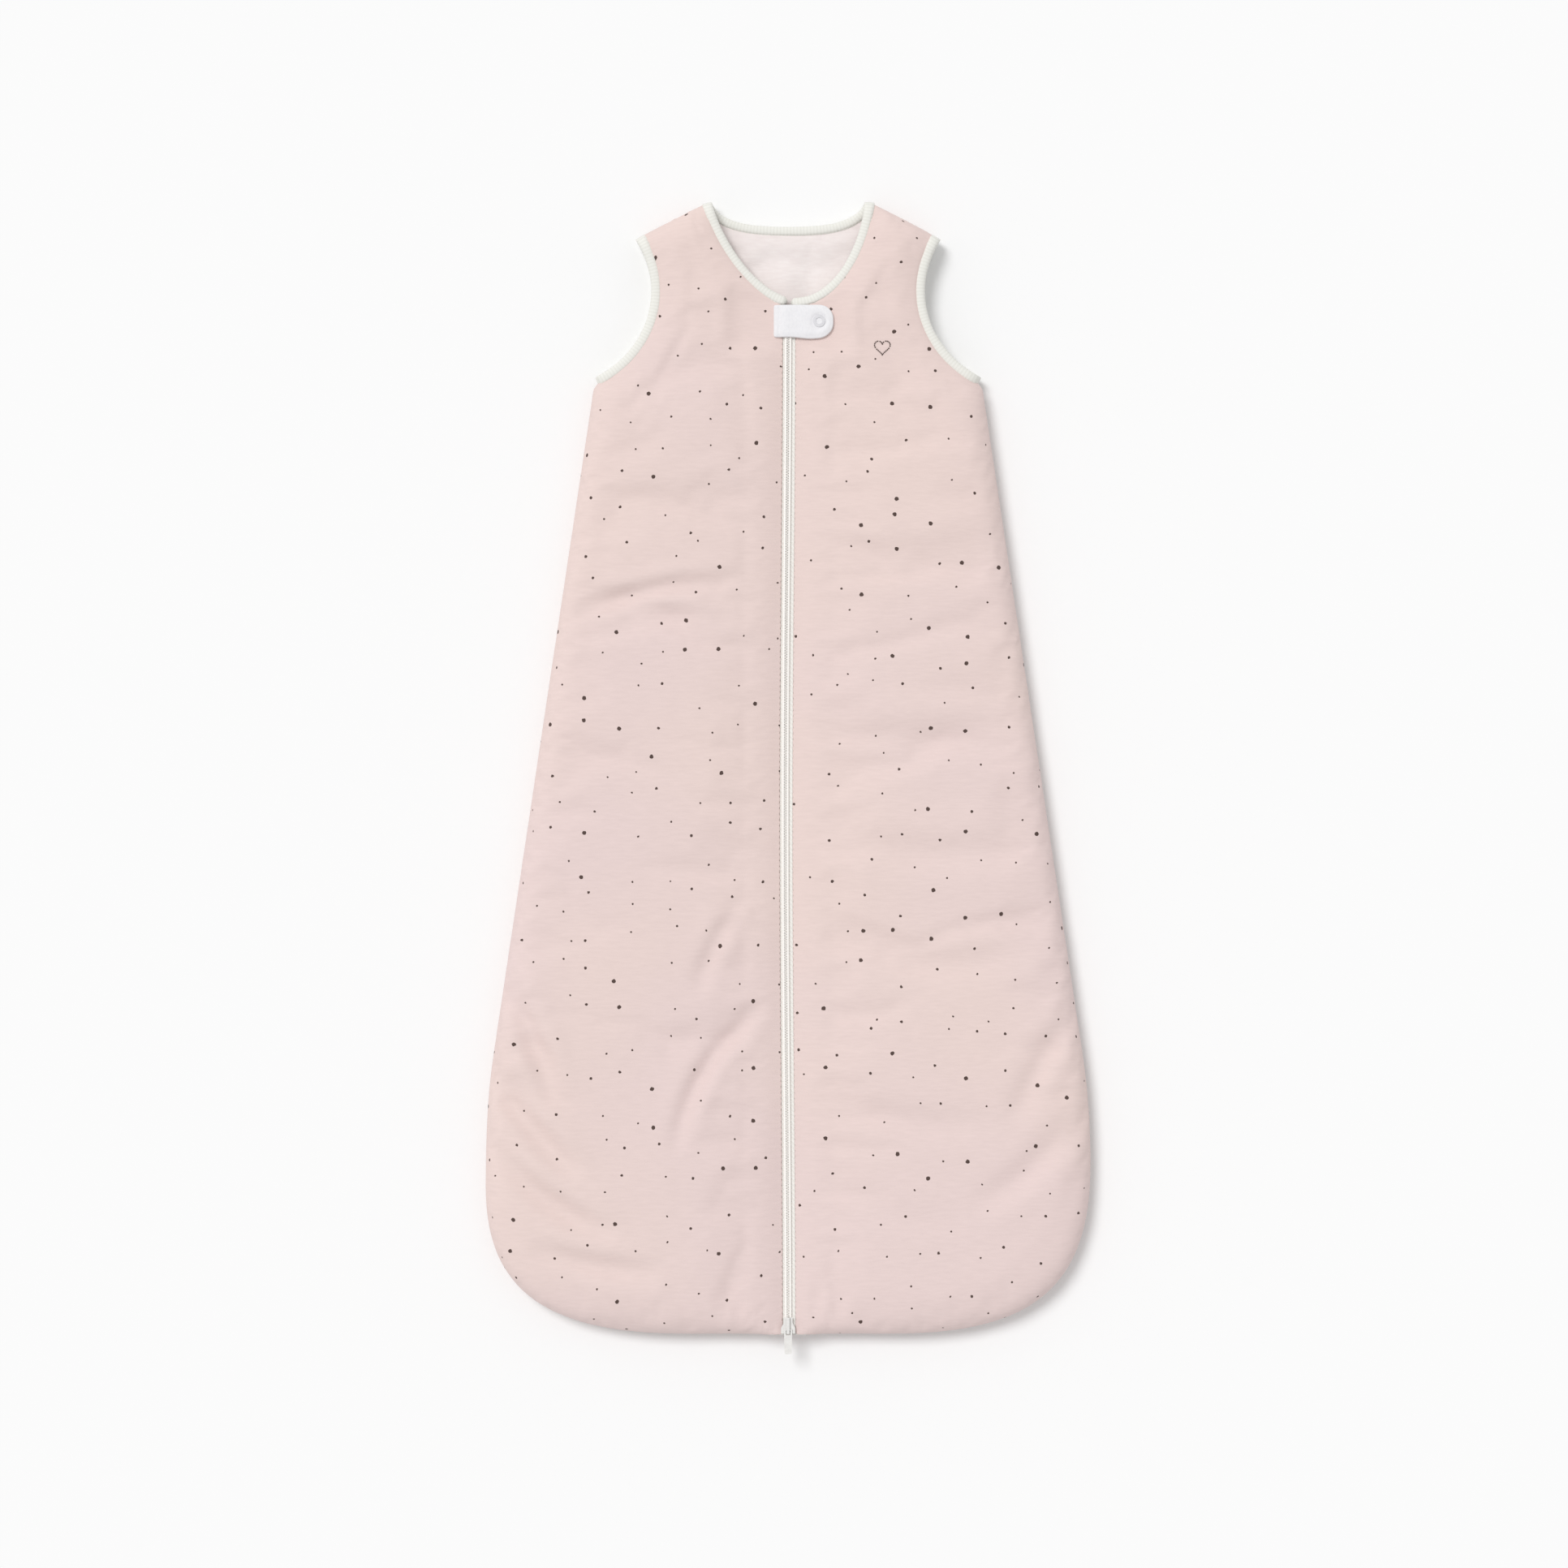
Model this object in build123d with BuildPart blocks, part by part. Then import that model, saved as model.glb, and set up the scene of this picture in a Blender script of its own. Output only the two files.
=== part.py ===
from build123d import *
import os

# A padded baby sleeping bag, lying flat on its back: +X to the right, +Y to the neck, +Z up.
# Heights along the bag are measured from the hem, and heights above the floor from zero.

# Outline
body_length = 880.0  # hem to the top of the shoulder seams
hip_half_width = 235.2  # at the widest place
hip_height = 131.0  # widest place above the hem
hem_flat_half_width = 81.0  # straight middle of the hem
corner_hem_reach = 109.0  # how far each corner curve follows the hem
corner_side_reach = 95.0  # how far it follows the side
hip_round_height = 85.5  # the side curves in over this height
underarm_half_width = 150.0
armhole_depth = 137.0  # top of the bag down to the underarm
shoulder_half_width = 118.2
shoulder_drop = 29.0  # neck point down to the shoulder tip
neck_half_width = 60.0
back_neck_drop = 18.5
front_neck_drop = 75.0
armhole_low_handle = (32.0, 14.0)  # curve handles: inward and up from the underarm
armhole_high_handle = (30.0, 49.0)  # and inward and down from the shoulder tip
back_neck_handles = (8.0, 15.5, 30.0)  # in and down from the neck point, and out from the middle
front_neck_handles = (8.0, 30.0, 25.0, 9.0)  # the same, and up from the lowest point

# Layers, from the floor up
shell_thickness = 1.0
wadding_thickness = 6.0
lining_thickness = 1.0
cavity_height = 9.0
seam_width = 8.0
neck_binding_width = 7.0
armhole_binding_width = 7.5
armhole_closed_end = 10.0  # stretch at each end of an armhole where front and back bindings join

# Front opening
fold_hem_half_width = 25.0  # where each front half folds back, at the hem
fold_neck_half_width = 60.0  # and at the neck point
moving_gap = 0.4  # between a front half and what stays still
layer_gap = 0.3  # between a panel and the curved seam or binding beside it
shell_edge = 4.6  # middle line to the edge of the shell beside the chain
lining_edge = 14.6  # middle line to the wadding and lining

# Zip
tape_width = 13.4
tape_thickness = 0.6
coil_gap = 1.6  # between the two coils
coil_width = 2.2
coil_height = 2.0
stop_length = 1.0
tape_end_gap = 10.0  # zip tapes end this far under the front neckline
box_length = 9.0
box_width = 6.8
box_roof = 0.6
box_end_wall = 1.2
pin_width = 1.4
pin_height = 1.8
pin_lead = 3.0  # bare pin below the box
box_clearance = 0.3

# Slider
slider_length = 12.5
slider_start = 1.5  # hem to the slider's lower end
slider_neck_half_width = 3.4
slider_wing_half_width = 5.5
slider_plate = 0.9
slider_clearance = 0.35
flange_thickness = 0.9
post_width = 1.0
post_length = 3.0
bridge_width = 2.2
bridge_thickness = 0.8
bridge_leg = 1.2
bridge_opening = 1.6  # free height under the bridge
pull_bar_diameter = 1.0
pull_bar_offset = 2.8  # slider's lower end to the pull's pivot
pull_arm_width = 1.3
pull_bar_gap = 0.7  # each side of the bridge
pull_arm_length = 4.0
pull_overhang = 14.4  # pull's tip beyond the hem
pull_tip_half_width = 2.7
pull_thickness = 1.0

# Guard tab and snap
tab_left = 11.4  # sewn end, left of the middle line
tab_right = 35.3
tab_width = 25.5
tab_drop = 6.0  # front neckline down to the tab's upper edge
tab_corner = 11.0
tab_sewn_length = 4.5
tab_layer = 0.7
snap_offset = 24.0
snap_diameter = 9.4
snap_eye_diameter = 5.0
snap_cap_thickness = 0.6
socket_diameter = 8.6
socket_thickness = 1.3
stud_flange_thickness = 0.6
stud_diameter = 4.0
snap_clearance = 0.3

# Chest motif
motif_offset = 73.0
motif_drop = 115.5
motif_lobe_radius = 3.7
motif_thickness = 0.4

hem_y = (pull_overhang - body_length) / 2  # puts the origin under the middle of the whole bag
half_gap = moving_gap / 2
back_top = shell_thickness + wadding_thickness + lining_thickness
front_bottom = back_top + cavity_height
front_wadding_bottom = front_bottom + lining_thickness
front_shell_bottom = front_wadding_bottom + wadding_thickness
front_top = front_shell_bottom + shell_thickness
front_neck_height = body_length - front_neck_drop
underarm_height = body_length - armhole_depth
shoulder_height = body_length - shoulder_drop
reach = 2 * hip_half_width  # longer than any cut needs to be

os.makedirs("parts", exist_ok=True)


def level(height):
    """The plane of the bag at a height above the floor, with its origin on the hem."""
    return Plane((0, hem_y, height))


def write(piece, name):
    piece.part.label = name
    export_step(piece.part, f"parts/{name}.step")


def beside(curve, distance):
    """A smooth curve that runs at a distance from another, on its left."""
    points = []
    for share in (0, 0.12, 0.25, 0.38, 0.5, 0.62, 0.75, 0.88, 1):
        along = curve % share
        points.append(curve @ share + Vector(-along.Y, along.X) * distance)
    return Spline(*points, tangents=(curve % 0, curve % 1))


def inside_of(corner, hip, side, distance):
    """Right half of the bag inside its side edges, at a distance from them."""
    with BuildSketch() as area:
        with BuildLine():
            inner_corner = beside(corner, distance)
            inner_hip = beside(hip, distance)
            inner_top = side @ 1 - (distance, 0)
            Polyline(inner_hip @ 1, inner_top, (0, body_length), (0, distance), inner_corner @ 0)
        make_face()
    return area


def outside(curve, distance):
    """Everything beside the bag, from an armhole's curve moved into the bag by a distance."""
    with BuildSketch() as area:
        with BuildLine():
            edge = beside(curve, distance)
            run_on = edge @ 1 + (edge % 1) * seam_width
            Polyline(edge @ 1, run_on, (reach, 2 * body_length), (reach, (edge @ 0).Y), edge @ 0)
        make_face()
    return area


def above(curve, distance):
    """Everything above a neckline's right half, moved into the bag by a distance."""
    past_middle = -seam_width
    with BuildSketch() as area:
        with BuildLine():
            edge = beside(curve, distance)
            run_on = edge @ 0 - (edge % 0) * seam_width
            Polyline(
                edge @ 1,
                (past_middle, (edge @ 1).Y),
                (past_middle, 2 * body_length),
                run_on,
                edge @ 0,
            )
        make_face()
    return area


def over_seam(distance):
    """Everything above the right shoulder's seam line, moved into the bag by a distance."""
    with BuildSketch() as area:
        with BuildLine():
            run = Vector(shoulder_half_width - neck_half_width, -shoulder_drop)
            neck_point = Vector(neck_half_width, body_length)
            Polyline(neck_point - run, neck_point + run * 3, (reach, 2 * body_length), neck_point - run)
        make_face()
        if distance:
            offset(amount=distance)
    return area


def up_to_fold(shift):
    """From the middle line to the right fold line, moved outward by a shift."""
    with BuildSketch() as area:
        with BuildLine():
            Polyline(
                (0, -seam_width),
                (fold_hem_half_width + shift, -seam_width),
                (fold_hem_half_width + shift, 0),
                (fold_neck_half_width + shift, body_length),
                (0, body_length),
                close=True,
            )
        make_face()
    return area


def zip_strip(half_width):
    """A strip along the middle line, longer than the bag."""
    with BuildSketch() as area:
        Rectangle(2 * half_width, 4 * body_length)
    return area


# Outlines of the bag's right half, measured from the middle of the hem

with BuildSketch() as torso:
    with BuildLine():
        side_slope = (hip_half_width - underarm_half_width) / (underarm_height - hip_height)
        side_start = (
            hip_half_width - side_slope * hip_round_height / 2,
            hip_height + hip_round_height,
        )
        side_slope = (side_start[0] - underarm_half_width) / (underarm_height - side_start[1])
        hem = Line((0, 0), (hem_flat_half_width, 0))
        corner = Bezier(
            hem @ 1,
            (hem_flat_half_width + corner_hem_reach, 0),
            (hip_half_width, hip_height - corner_side_reach),
            (hip_half_width, hip_height),
        )
        hip = Spline(corner @ 1, side_start, tangents=((0, 1), (-side_slope, 1)))
        side = Line(hip @ 1, (underarm_half_width - side_slope * armhole_depth, body_length))
        Polyline(side @ 1, (0, body_length), hem @ 0)
    make_face()

with BuildSketch() as torso_inside:  # what the side seams leave
    add(inside_of(corner, hip, side, seam_width).sketch)

with BuildSketch() as torso_filled:  # a little less, for the wadding and lining
    add(inside_of(corner, hip, side, seam_width + layer_gap).sketch)

with BuildLine() as armhole_line:
    armhole_curve = Bezier(
        (underarm_half_width, underarm_height),
        (underarm_half_width - armhole_low_handle[0], underarm_height + armhole_low_handle[1]),
        (shoulder_half_width - armhole_high_handle[0], shoulder_height - armhole_high_handle[1]),
        (shoulder_half_width, shoulder_height),
    )

with BuildLine() as back_neck_line:
    back_neck_curve = Bezier(
        (neck_half_width, body_length),
        (neck_half_width - back_neck_handles[0], body_length - back_neck_handles[1]),
        (back_neck_handles[2], body_length - back_neck_drop),
        (0, body_length - back_neck_drop),
    )

with BuildLine() as front_neck_line:
    front_neck_curve = Bezier(
        (neck_half_width, body_length),
        (neck_half_width - front_neck_handles[0], body_length - front_neck_handles[1]),
        (front_neck_handles[2], front_neck_height + front_neck_handles[3]),
        (0, front_neck_height),
    )

armhole = outside(armhole_curve, 0)
armhole_bound = outside(armhole_curve, armhole_binding_width)
armhole_cleared = outside(armhole_curve, armhole_binding_width + layer_gap)
back_neck = above(back_neck_curve, 0)
back_neck_bound = above(back_neck_curve, neck_binding_width)
back_neck_cleared = above(back_neck_curve, neck_binding_width + layer_gap)
front_neck = above(front_neck_curve, 0)
front_neck_bound = above(front_neck_curve, neck_binding_width)
front_neck_cleared = above(front_neck_curve, neck_binding_width + layer_gap)
over_shoulder = over_seam(0)
over_shoulder_seam = over_seam(seam_width)
over_shoulder_cleared = over_seam(seam_width + layer_gap)

with BuildSketch() as half_bag:
    add(torso.sketch)
    add(armhole.sketch, mode=Mode.SUBTRACT)
    add(over_shoulder.sketch, mode=Mode.SUBTRACT)

with BuildSketch() as back_area:
    add(half_bag.sketch)
    add(armhole_cleared.sketch, mode=Mode.SUBTRACT)
    add(back_neck_cleared.sketch, mode=Mode.SUBTRACT)

with BuildSketch() as back_inner_area:
    add(back_area.sketch)
    add(torso_filled.sketch, mode=Mode.INTERSECT)
    add(over_shoulder_cleared.sketch, mode=Mode.SUBTRACT)

with BuildSketch() as back_neck_area:
    add(back_neck_bound.sketch)
    add(back_neck.sketch, mode=Mode.SUBTRACT)
    add(half_bag.sketch, mode=Mode.INTERSECT)

with BuildSketch() as flap_area:  # right front half, from the zip to its fold line
    add(up_to_fold(-half_gap).sketch)
    add(torso.sketch, mode=Mode.INTERSECT)
    add(front_neck_cleared.sketch, mode=Mode.SUBTRACT)

with BuildSketch() as flap_shell_area:
    add(flap_area.sketch)
    add(zip_strip(shell_edge).sketch, mode=Mode.SUBTRACT)

with BuildSketch() as flap_inner_area:
    add(flap_area.sketch)
    add(torso_filled.sketch, mode=Mode.INTERSECT)
    add(zip_strip(lining_edge).sketch, mode=Mode.SUBTRACT)

with BuildSketch() as flap_neck_area:
    add(front_neck_bound.sketch)
    add(front_neck.sketch, mode=Mode.SUBTRACT)
    add(up_to_fold(-half_gap).sketch, mode=Mode.INTERSECT)
    add(zip_strip(coil_gap / 2).sketch, mode=Mode.SUBTRACT)

with BuildSketch() as side_area:  # front beside the fold line
    add(half_bag.sketch)
    add(armhole_cleared.sketch, mode=Mode.SUBTRACT)
    add(up_to_fold(half_gap).sketch, mode=Mode.SUBTRACT)

with BuildSketch() as side_inner_area:
    add(side_area.sketch)
    add(torso_filled.sketch, mode=Mode.INTERSECT)
    add(over_shoulder_cleared.sketch, mode=Mode.SUBTRACT)

with BuildSketch() as seam_band:  # where front and back are joined round the hem, corner and side
    add(side_area.sketch)
    add(torso_inside.sketch, mode=Mode.SUBTRACT)

with BuildSketch() as hem_seam_area:
    add(seam_band.sketch)
    with Locations((0, 0)):
        Rectangle(2 * hem_flat_half_width, 4 * seam_width, mode=Mode.INTERSECT)

with BuildSketch() as corner_seam_area:
    add(seam_band.sketch)
    with Locations((hem_flat_half_width, 0)):
        Rectangle(reach, hip_height, align=(Align.MIN, Align.MIN), mode=Mode.INTERSECT)

with BuildSketch() as side_seam_area:
    add(seam_band.sketch)
    with Locations((0, hip_height)):
        Rectangle(reach, body_length, align=(Align.MIN, Align.MIN), mode=Mode.INTERSECT)

with BuildSketch() as shoulder_seam_area:
    add(side_area.sketch)
    add(over_shoulder_seam.sketch, mode=Mode.INTERSECT)
    add(back_neck_cleared.sketch, mode=Mode.SUBTRACT)

with BuildSketch() as armhole_binding_area:
    add(armhole_bound.sketch)
    add(armhole.sketch, mode=Mode.SUBTRACT)
    add(half_bag.sketch, mode=Mode.INTERSECT)

with BuildSketch() as armhole_open_area:
    with Locations((0, (underarm_height + shoulder_height) / 2)):
        Rectangle(
            2 * (underarm_half_width - armhole_closed_end),
            shoulder_height - underarm_height - armhole_closed_end,
        )


# Back of the bag

with BuildPart() as back_shell:
    with BuildSketch(level(0)):
        add(back_area.sketch)
    extrude(amount=shell_thickness)
    mirror(about=Plane.YZ)
write(back_shell, "back_shell")

with BuildPart() as back_wadding:
    with BuildSketch(level(shell_thickness)):
        add(back_inner_area.sketch)
    extrude(amount=wadding_thickness)
    mirror(about=Plane.YZ)
write(back_wadding, "back_wadding")

with BuildPart() as back_lining:
    with BuildSketch(level(shell_thickness + wadding_thickness)):
        add(back_inner_area.sketch)
    extrude(amount=lining_thickness)
    mirror(about=Plane.YZ)
write(back_lining, "back_lining")

with BuildPart() as back_neck_binding:
    with BuildSketch(level(0)):
        add(back_neck_area.sketch)
    extrude(amount=back_top)
    mirror(about=Plane.YZ)
write(back_neck_binding, "back_neck_binding")

# Front of the bag. Each right-hand piece is built, and mirrored for the left.

tape_bottom = front_shell_bottom - tape_thickness
box_height = pin_height + box_clearance + box_roof
snap_stack = stud_flange_thickness + snap_clearance + socket_thickness
tab_bottom = max(front_top + snap_stack, front_shell_bottom + box_height + box_clearance)
tab_height = front_neck_height - tab_drop - tab_width / 2
tape_end = front_neck_height - tape_end_gap
box_start = tape_end - box_length
snap_ring_bottom = front_shell_bottom - snap_cap_thickness
seam_areas = {
    "hem": hem_seam_area,
    "corner": corner_seam_area,
    "side": side_seam_area,
    "shoulder": shoulder_seam_area,
}

for side in ("left", "right"):
    with BuildPart() as side_shell:
        with BuildSketch(level(front_shell_bottom)):
            add(side_area.sketch)
        extrude(amount=shell_thickness)
        if side == "left":
            mirror(about=Plane.YZ, mode=Mode.REPLACE)
    write(side_shell, f"{side}_side_shell")

    with BuildPart() as side_wadding:
        with BuildSketch(level(front_wadding_bottom)):
            add(side_inner_area.sketch)
        extrude(amount=wadding_thickness)
        if side == "left":
            mirror(about=Plane.YZ, mode=Mode.REPLACE)
    write(side_wadding, f"{side}_side_wadding")

    with BuildPart() as side_lining:
        with BuildSketch(level(front_bottom)):
            add(side_inner_area.sketch)
        extrude(amount=lining_thickness)
        if side == "left":
            mirror(about=Plane.YZ, mode=Mode.REPLACE)
    write(side_lining, f"{side}_side_lining")

    for seam_name, seam_area in seam_areas.items():
        with BuildPart() as seam:
            with BuildSketch(level(shell_thickness)):
                add(seam_area.sketch)
            extrude(amount=front_shell_bottom - shell_thickness)
            if side == "left":
                mirror(about=Plane.YZ, mode=Mode.REPLACE)
        write(seam, f"{side}_{seam_name}_seam")

    with BuildPart() as armhole_binding:
        with BuildSketch(level(0)):
            add(armhole_binding_area.sketch)
        extrude(amount=front_top)
        with BuildSketch(level(back_top)):
            add(armhole_open_area.sketch)
        extrude(amount=cavity_height, mode=Mode.SUBTRACT)
        if side == "left":
            mirror(about=Plane.YZ, mode=Mode.REPLACE)
    write(armhole_binding, f"{side}_armhole_binding")

    with BuildPart() as flap_shell:
        with BuildSketch(level(front_shell_bottom)):
            add(flap_shell_area.sketch)
        extrude(amount=shell_thickness)
        if side == "left":
            mirror(about=Plane.YZ, mode=Mode.REPLACE)
    write(flap_shell, f"{side}_flap_shell")

    with BuildPart() as flap_wadding:
        with BuildSketch(level(front_wadding_bottom)):
            add(flap_inner_area.sketch)
        extrude(amount=wadding_thickness)
        if side == "right":  # room for the ring behind the snap
            with BuildSketch(level(snap_ring_bottom)):
                with Locations((snap_offset, tab_height)):
                    Circle(snap_diameter / 2)
            extrude(amount=snap_cap_thickness, mode=Mode.SUBTRACT)
        else:
            mirror(about=Plane.YZ, mode=Mode.REPLACE)
    write(flap_wadding, f"{side}_flap_wadding")

    with BuildPart() as flap_lining:
        with BuildSketch(level(front_bottom)):
            add(flap_inner_area.sketch)
        extrude(amount=lining_thickness)
        if side == "left":
            mirror(about=Plane.YZ, mode=Mode.REPLACE)
    write(flap_lining, f"{side}_flap_lining")

    with BuildPart() as front_neck_binding:
        with BuildSketch(level(front_bottom)):
            add(flap_neck_area.sketch)
        extrude(amount=front_top - front_bottom)
        if side == "left":
            mirror(about=Plane.YZ, mode=Mode.REPLACE)
    write(front_neck_binding, f"{side}_front_neck_binding")

    with BuildPart() as zip_tape:
        with BuildSketch(level(tape_bottom)):
            with Locations((coil_gap / 2, 0)):
                Rectangle(tape_width, tape_end, align=(Align.MIN, Align.MIN))
        extrude(amount=tape_thickness)
        if side == "left":
            mirror(about=Plane.YZ, mode=Mode.REPLACE)
    write(zip_tape, f"{side}_zip_tape")

    coil_end = box_start - (pin_lead if side == "right" else 0)
    with BuildPart() as zip_coil:
        with BuildSketch(level(front_shell_bottom)):
            with Locations((coil_gap / 2, stop_length)):
                Rectangle(coil_width, coil_end - stop_length, align=(Align.MIN, Align.MIN))
        extrude(amount=coil_height)
        if side == "left":
            mirror(about=Plane.YZ, mode=Mode.REPLACE)
    write(zip_coil, f"{side}_zip_coil")

    with BuildPart() as zip_end_stop:
        with BuildSketch(level(front_shell_bottom)):
            with Locations((coil_gap / 2, 0)):
                Rectangle(coil_width, stop_length, align=(Align.MIN, Align.MIN))
        extrude(amount=coil_height)
        if side == "left":
            mirror(about=Plane.YZ, mode=Mode.REPLACE)
    write(zip_end_stop, f"{side}_zip_end_stop")

# Ends of the zip at the neck, under the guard tab

pin_room = (coil_gap / 2 - box_clearance, coil_gap / 2 + pin_width + box_clearance)

with BuildPart() as zip_retainer_box:
    with BuildSketch(level(front_shell_bottom)):
        with Locations((0, box_start)):
            Rectangle(box_width, box_length, align=(Align.CENTER, Align.MIN))
    extrude(amount=box_height)
    with BuildSketch(level(front_shell_bottom)):  # the right tape runs on under the box
        with Locations((pin_room[0], box_start)):
            Rectangle(box_width, box_length, align=(Align.MIN, Align.MIN))
    extrude(amount=box_clearance, mode=Mode.SUBTRACT)
    with BuildSketch(level(front_shell_bottom)):
        with Locations((pin_room[0], box_start)):
            Rectangle(
                pin_room[1] - pin_room[0],
                box_length - box_end_wall,
                align=(Align.MIN, Align.MIN),
            )
    extrude(amount=pin_height + box_clearance, mode=Mode.SUBTRACT)
write(zip_retainer_box, "zip_retainer_box")

with BuildPart() as zip_insertion_pin:
    with BuildSketch(level(front_shell_bottom)):
        with Locations((coil_gap / 2, box_start - pin_lead)):
            Rectangle(
                pin_width,
                pin_lead + box_length - box_end_wall - box_clearance,
                align=(Align.MIN, Align.MIN),
            )
    extrude(amount=pin_height)
write(zip_insertion_pin, "zip_insertion_pin")

# Slider: two plates joined by a post between the coils, with flanges beside them and a bridge on top

coil_top = front_shell_bottom + coil_height
lower_plate_bottom = tape_bottom - slider_clearance - slider_plate
upper_plate_bottom = coil_top + slider_clearance
upper_plate_top = upper_plate_bottom + slider_plate
slider_end = slider_start + slider_length
flange_inside = coil_gap / 2 + coil_width + slider_clearance
bridge_top = upper_plate_top + bridge_opening + bridge_thickness
pull_pivot = (slider_start + pull_bar_offset, upper_plate_top + bridge_opening / 2)

with BuildSketch() as slider_outline:
    with BuildLine():
        Polyline(
            (slider_wing_half_width, slider_start),
            (slider_wing_half_width, slider_start + slider_length / 3),
            (slider_neck_half_width, slider_start + 2 * slider_length / 3),
            (slider_neck_half_width, slider_end),
            (0, slider_end),
            (0, slider_start),
            close=True,
        )
    make_face()
    mirror(about=Plane.YZ)
    fillet(slider_outline.vertices(), radius=slider_plate / 2)

with BuildPart() as slider_body:
    with BuildSketch(level(lower_plate_bottom)):
        add(slider_outline.sketch)
    extrude(amount=slider_plate)
    with BuildSketch(level(upper_plate_bottom)):
        add(slider_outline.sketch)
    extrude(amount=slider_plate)
    with BuildSketch(level(lower_plate_bottom)):
        with Locations((0, slider_start + slider_plate / 2)):
            Rectangle(post_width, post_length, align=(Align.CENTER, Align.MIN))
    extrude(amount=upper_plate_top - lower_plate_bottom)
    with BuildSketch(level(upper_plate_bottom)):
        with Locations((0, slider_start + slider_length / 4)):
            with GridLocations(2 * flange_inside + flange_thickness, 1, 2, 1):
                Rectangle(flange_thickness, slider_length / 3)
    extrude(amount=tape_bottom + tape_thickness + slider_clearance - upper_plate_bottom)
    with BuildSketch(level(upper_plate_top)):
        with Locations((0, (slider_start + slider_end) / 2)):
            Rectangle(bridge_width, slider_length)
    extrude(amount=bridge_opening + bridge_thickness)
    with BuildSketch(level(upper_plate_top)):
        with Locations((0, (slider_start + slider_end) / 2)):
            Rectangle(bridge_width, slider_length - 2 * bridge_leg)
    extrude(amount=bridge_opening, mode=Mode.SUBTRACT)
write(slider_body, "slider_body")

arm_inside = bridge_width / 2 + pull_bar_gap
arm_outside = arm_inside + pull_arm_width
plate_start = pull_pivot[0] - pull_arm_length

with BuildPart() as slider_pull:
    with BuildSketch(level(pull_pivot[1] - pull_thickness / 2)):
        with BuildLine():
            Polyline(
                (arm_outside, pull_pivot[0]),
                (arm_outside, plate_start),
                (pull_tip_half_width, -pull_overhang),
                (0, -pull_overhang),
                (0, plate_start),
                (arm_inside, plate_start),
                (arm_inside, pull_pivot[0]),
                close=True,
            )
        make_face()
        mirror(about=Plane.YZ)
    extrude(amount=pull_thickness)
    with BuildSketch(Plane.YZ.offset(-arm_outside)):
        with Locations((hem_y + pull_pivot[0], pull_pivot[1])):
            Circle(pull_bar_diameter / 2)
    extrude(amount=2 * arm_outside)
    pull_tip = slider_pull.edges().filter_by(Axis.Z).group_by(Axis.Y)[0]
    fillet(pull_tip, radius=pull_tip_half_width / 2)
write(slider_pull, "slider_pull")

# Guard tab over the top of the zip, sewn down at its left end and snapped down at its right

with BuildSketch() as tab_outline:
    with Locations((-tab_left, tab_height)):
        Rectangle(tab_left + tab_right, tab_width, align=(Align.MIN, Align.CENTER))
    tab_end_corners = tab_outline.vertices().group_by(Axis.X)[-1]
    fillet(tab_end_corners, radius=tab_corner)

with BuildPart() as guard_tab_backing:
    with BuildSketch(level(tab_bottom)):
        add(tab_outline.sketch)
    extrude(amount=tab_layer)
    with BuildSketch(level(front_top + moving_gap)):
        with Locations((-tab_left, tab_height)):
            Rectangle(tab_sewn_length, tab_width, align=(Align.MIN, Align.CENTER))
    extrude(amount=tab_bottom - front_top - moving_gap)
write(guard_tab_backing, "guard_tab_backing")

with BuildPart() as guard_tab_outer:
    with BuildSketch(level(tab_bottom + tab_layer)):
        add(tab_outline.sketch)
    extrude(amount=tab_layer)
write(guard_tab_outer, "guard_tab_outer")

with BuildPart() as snap_cap:
    with BuildSketch(level(tab_bottom + 2 * tab_layer)):
        with Locations((snap_offset, tab_height)):
            Circle(snap_diameter / 2)
            Circle(snap_eye_diameter / 2, mode=Mode.SUBTRACT)
    extrude(amount=snap_cap_thickness)
write(snap_cap, "snap_cap")

with BuildPart() as snap_socket:
    with BuildSketch(level(tab_bottom - socket_thickness)):
        with Locations((snap_offset, tab_height)):
            Circle(socket_diameter / 2)
            Circle(stud_diameter / 2 + snap_clearance, mode=Mode.SUBTRACT)
    extrude(amount=socket_thickness)
write(snap_socket, "snap_socket")

with BuildPart() as snap_stud:
    with BuildSketch(level(front_top)):
        with Locations((snap_offset, tab_height)):
            Circle(socket_diameter / 2)
    extrude(amount=stud_flange_thickness)
    with BuildSketch(level(front_top)):
        with Locations((snap_offset, tab_height)):
            Circle(stud_diameter / 2)
    extrude(amount=tab_bottom - front_top - snap_clearance)
write(snap_stud, "snap_stud")

with BuildPart() as snap_ring:
    with BuildSketch(level(snap_ring_bottom)):
        with Locations((snap_offset, tab_height)):
            Circle(socket_diameter / 2)
            Circle(stud_diameter / 2, mode=Mode.SUBTRACT)
    extrude(amount=snap_cap_thickness)
write(snap_ring, "snap_ring")

# Plain heart on the right of the chest

with BuildPart() as chest_motif:
    with BuildSketch(level(front_top)):
        with Locations((motif_offset, body_length - motif_drop)):
            Rectangle(2 * motif_lobe_radius, 2 * motif_lobe_radius, rotation=45)
            with PolarLocations(motif_lobe_radius, 2, start_angle=45, angular_range=90, endpoint=True):
                Circle(motif_lobe_radius)
    extrude(amount=motif_thickness)
write(chest_motif, "chest_motif")
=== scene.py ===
import math
import bpy
import numpy as np
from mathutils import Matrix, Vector, noise
from mathutils.bvhtree import BVHTree
from mathutils.geometry import delaunay_2d_cdt


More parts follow.
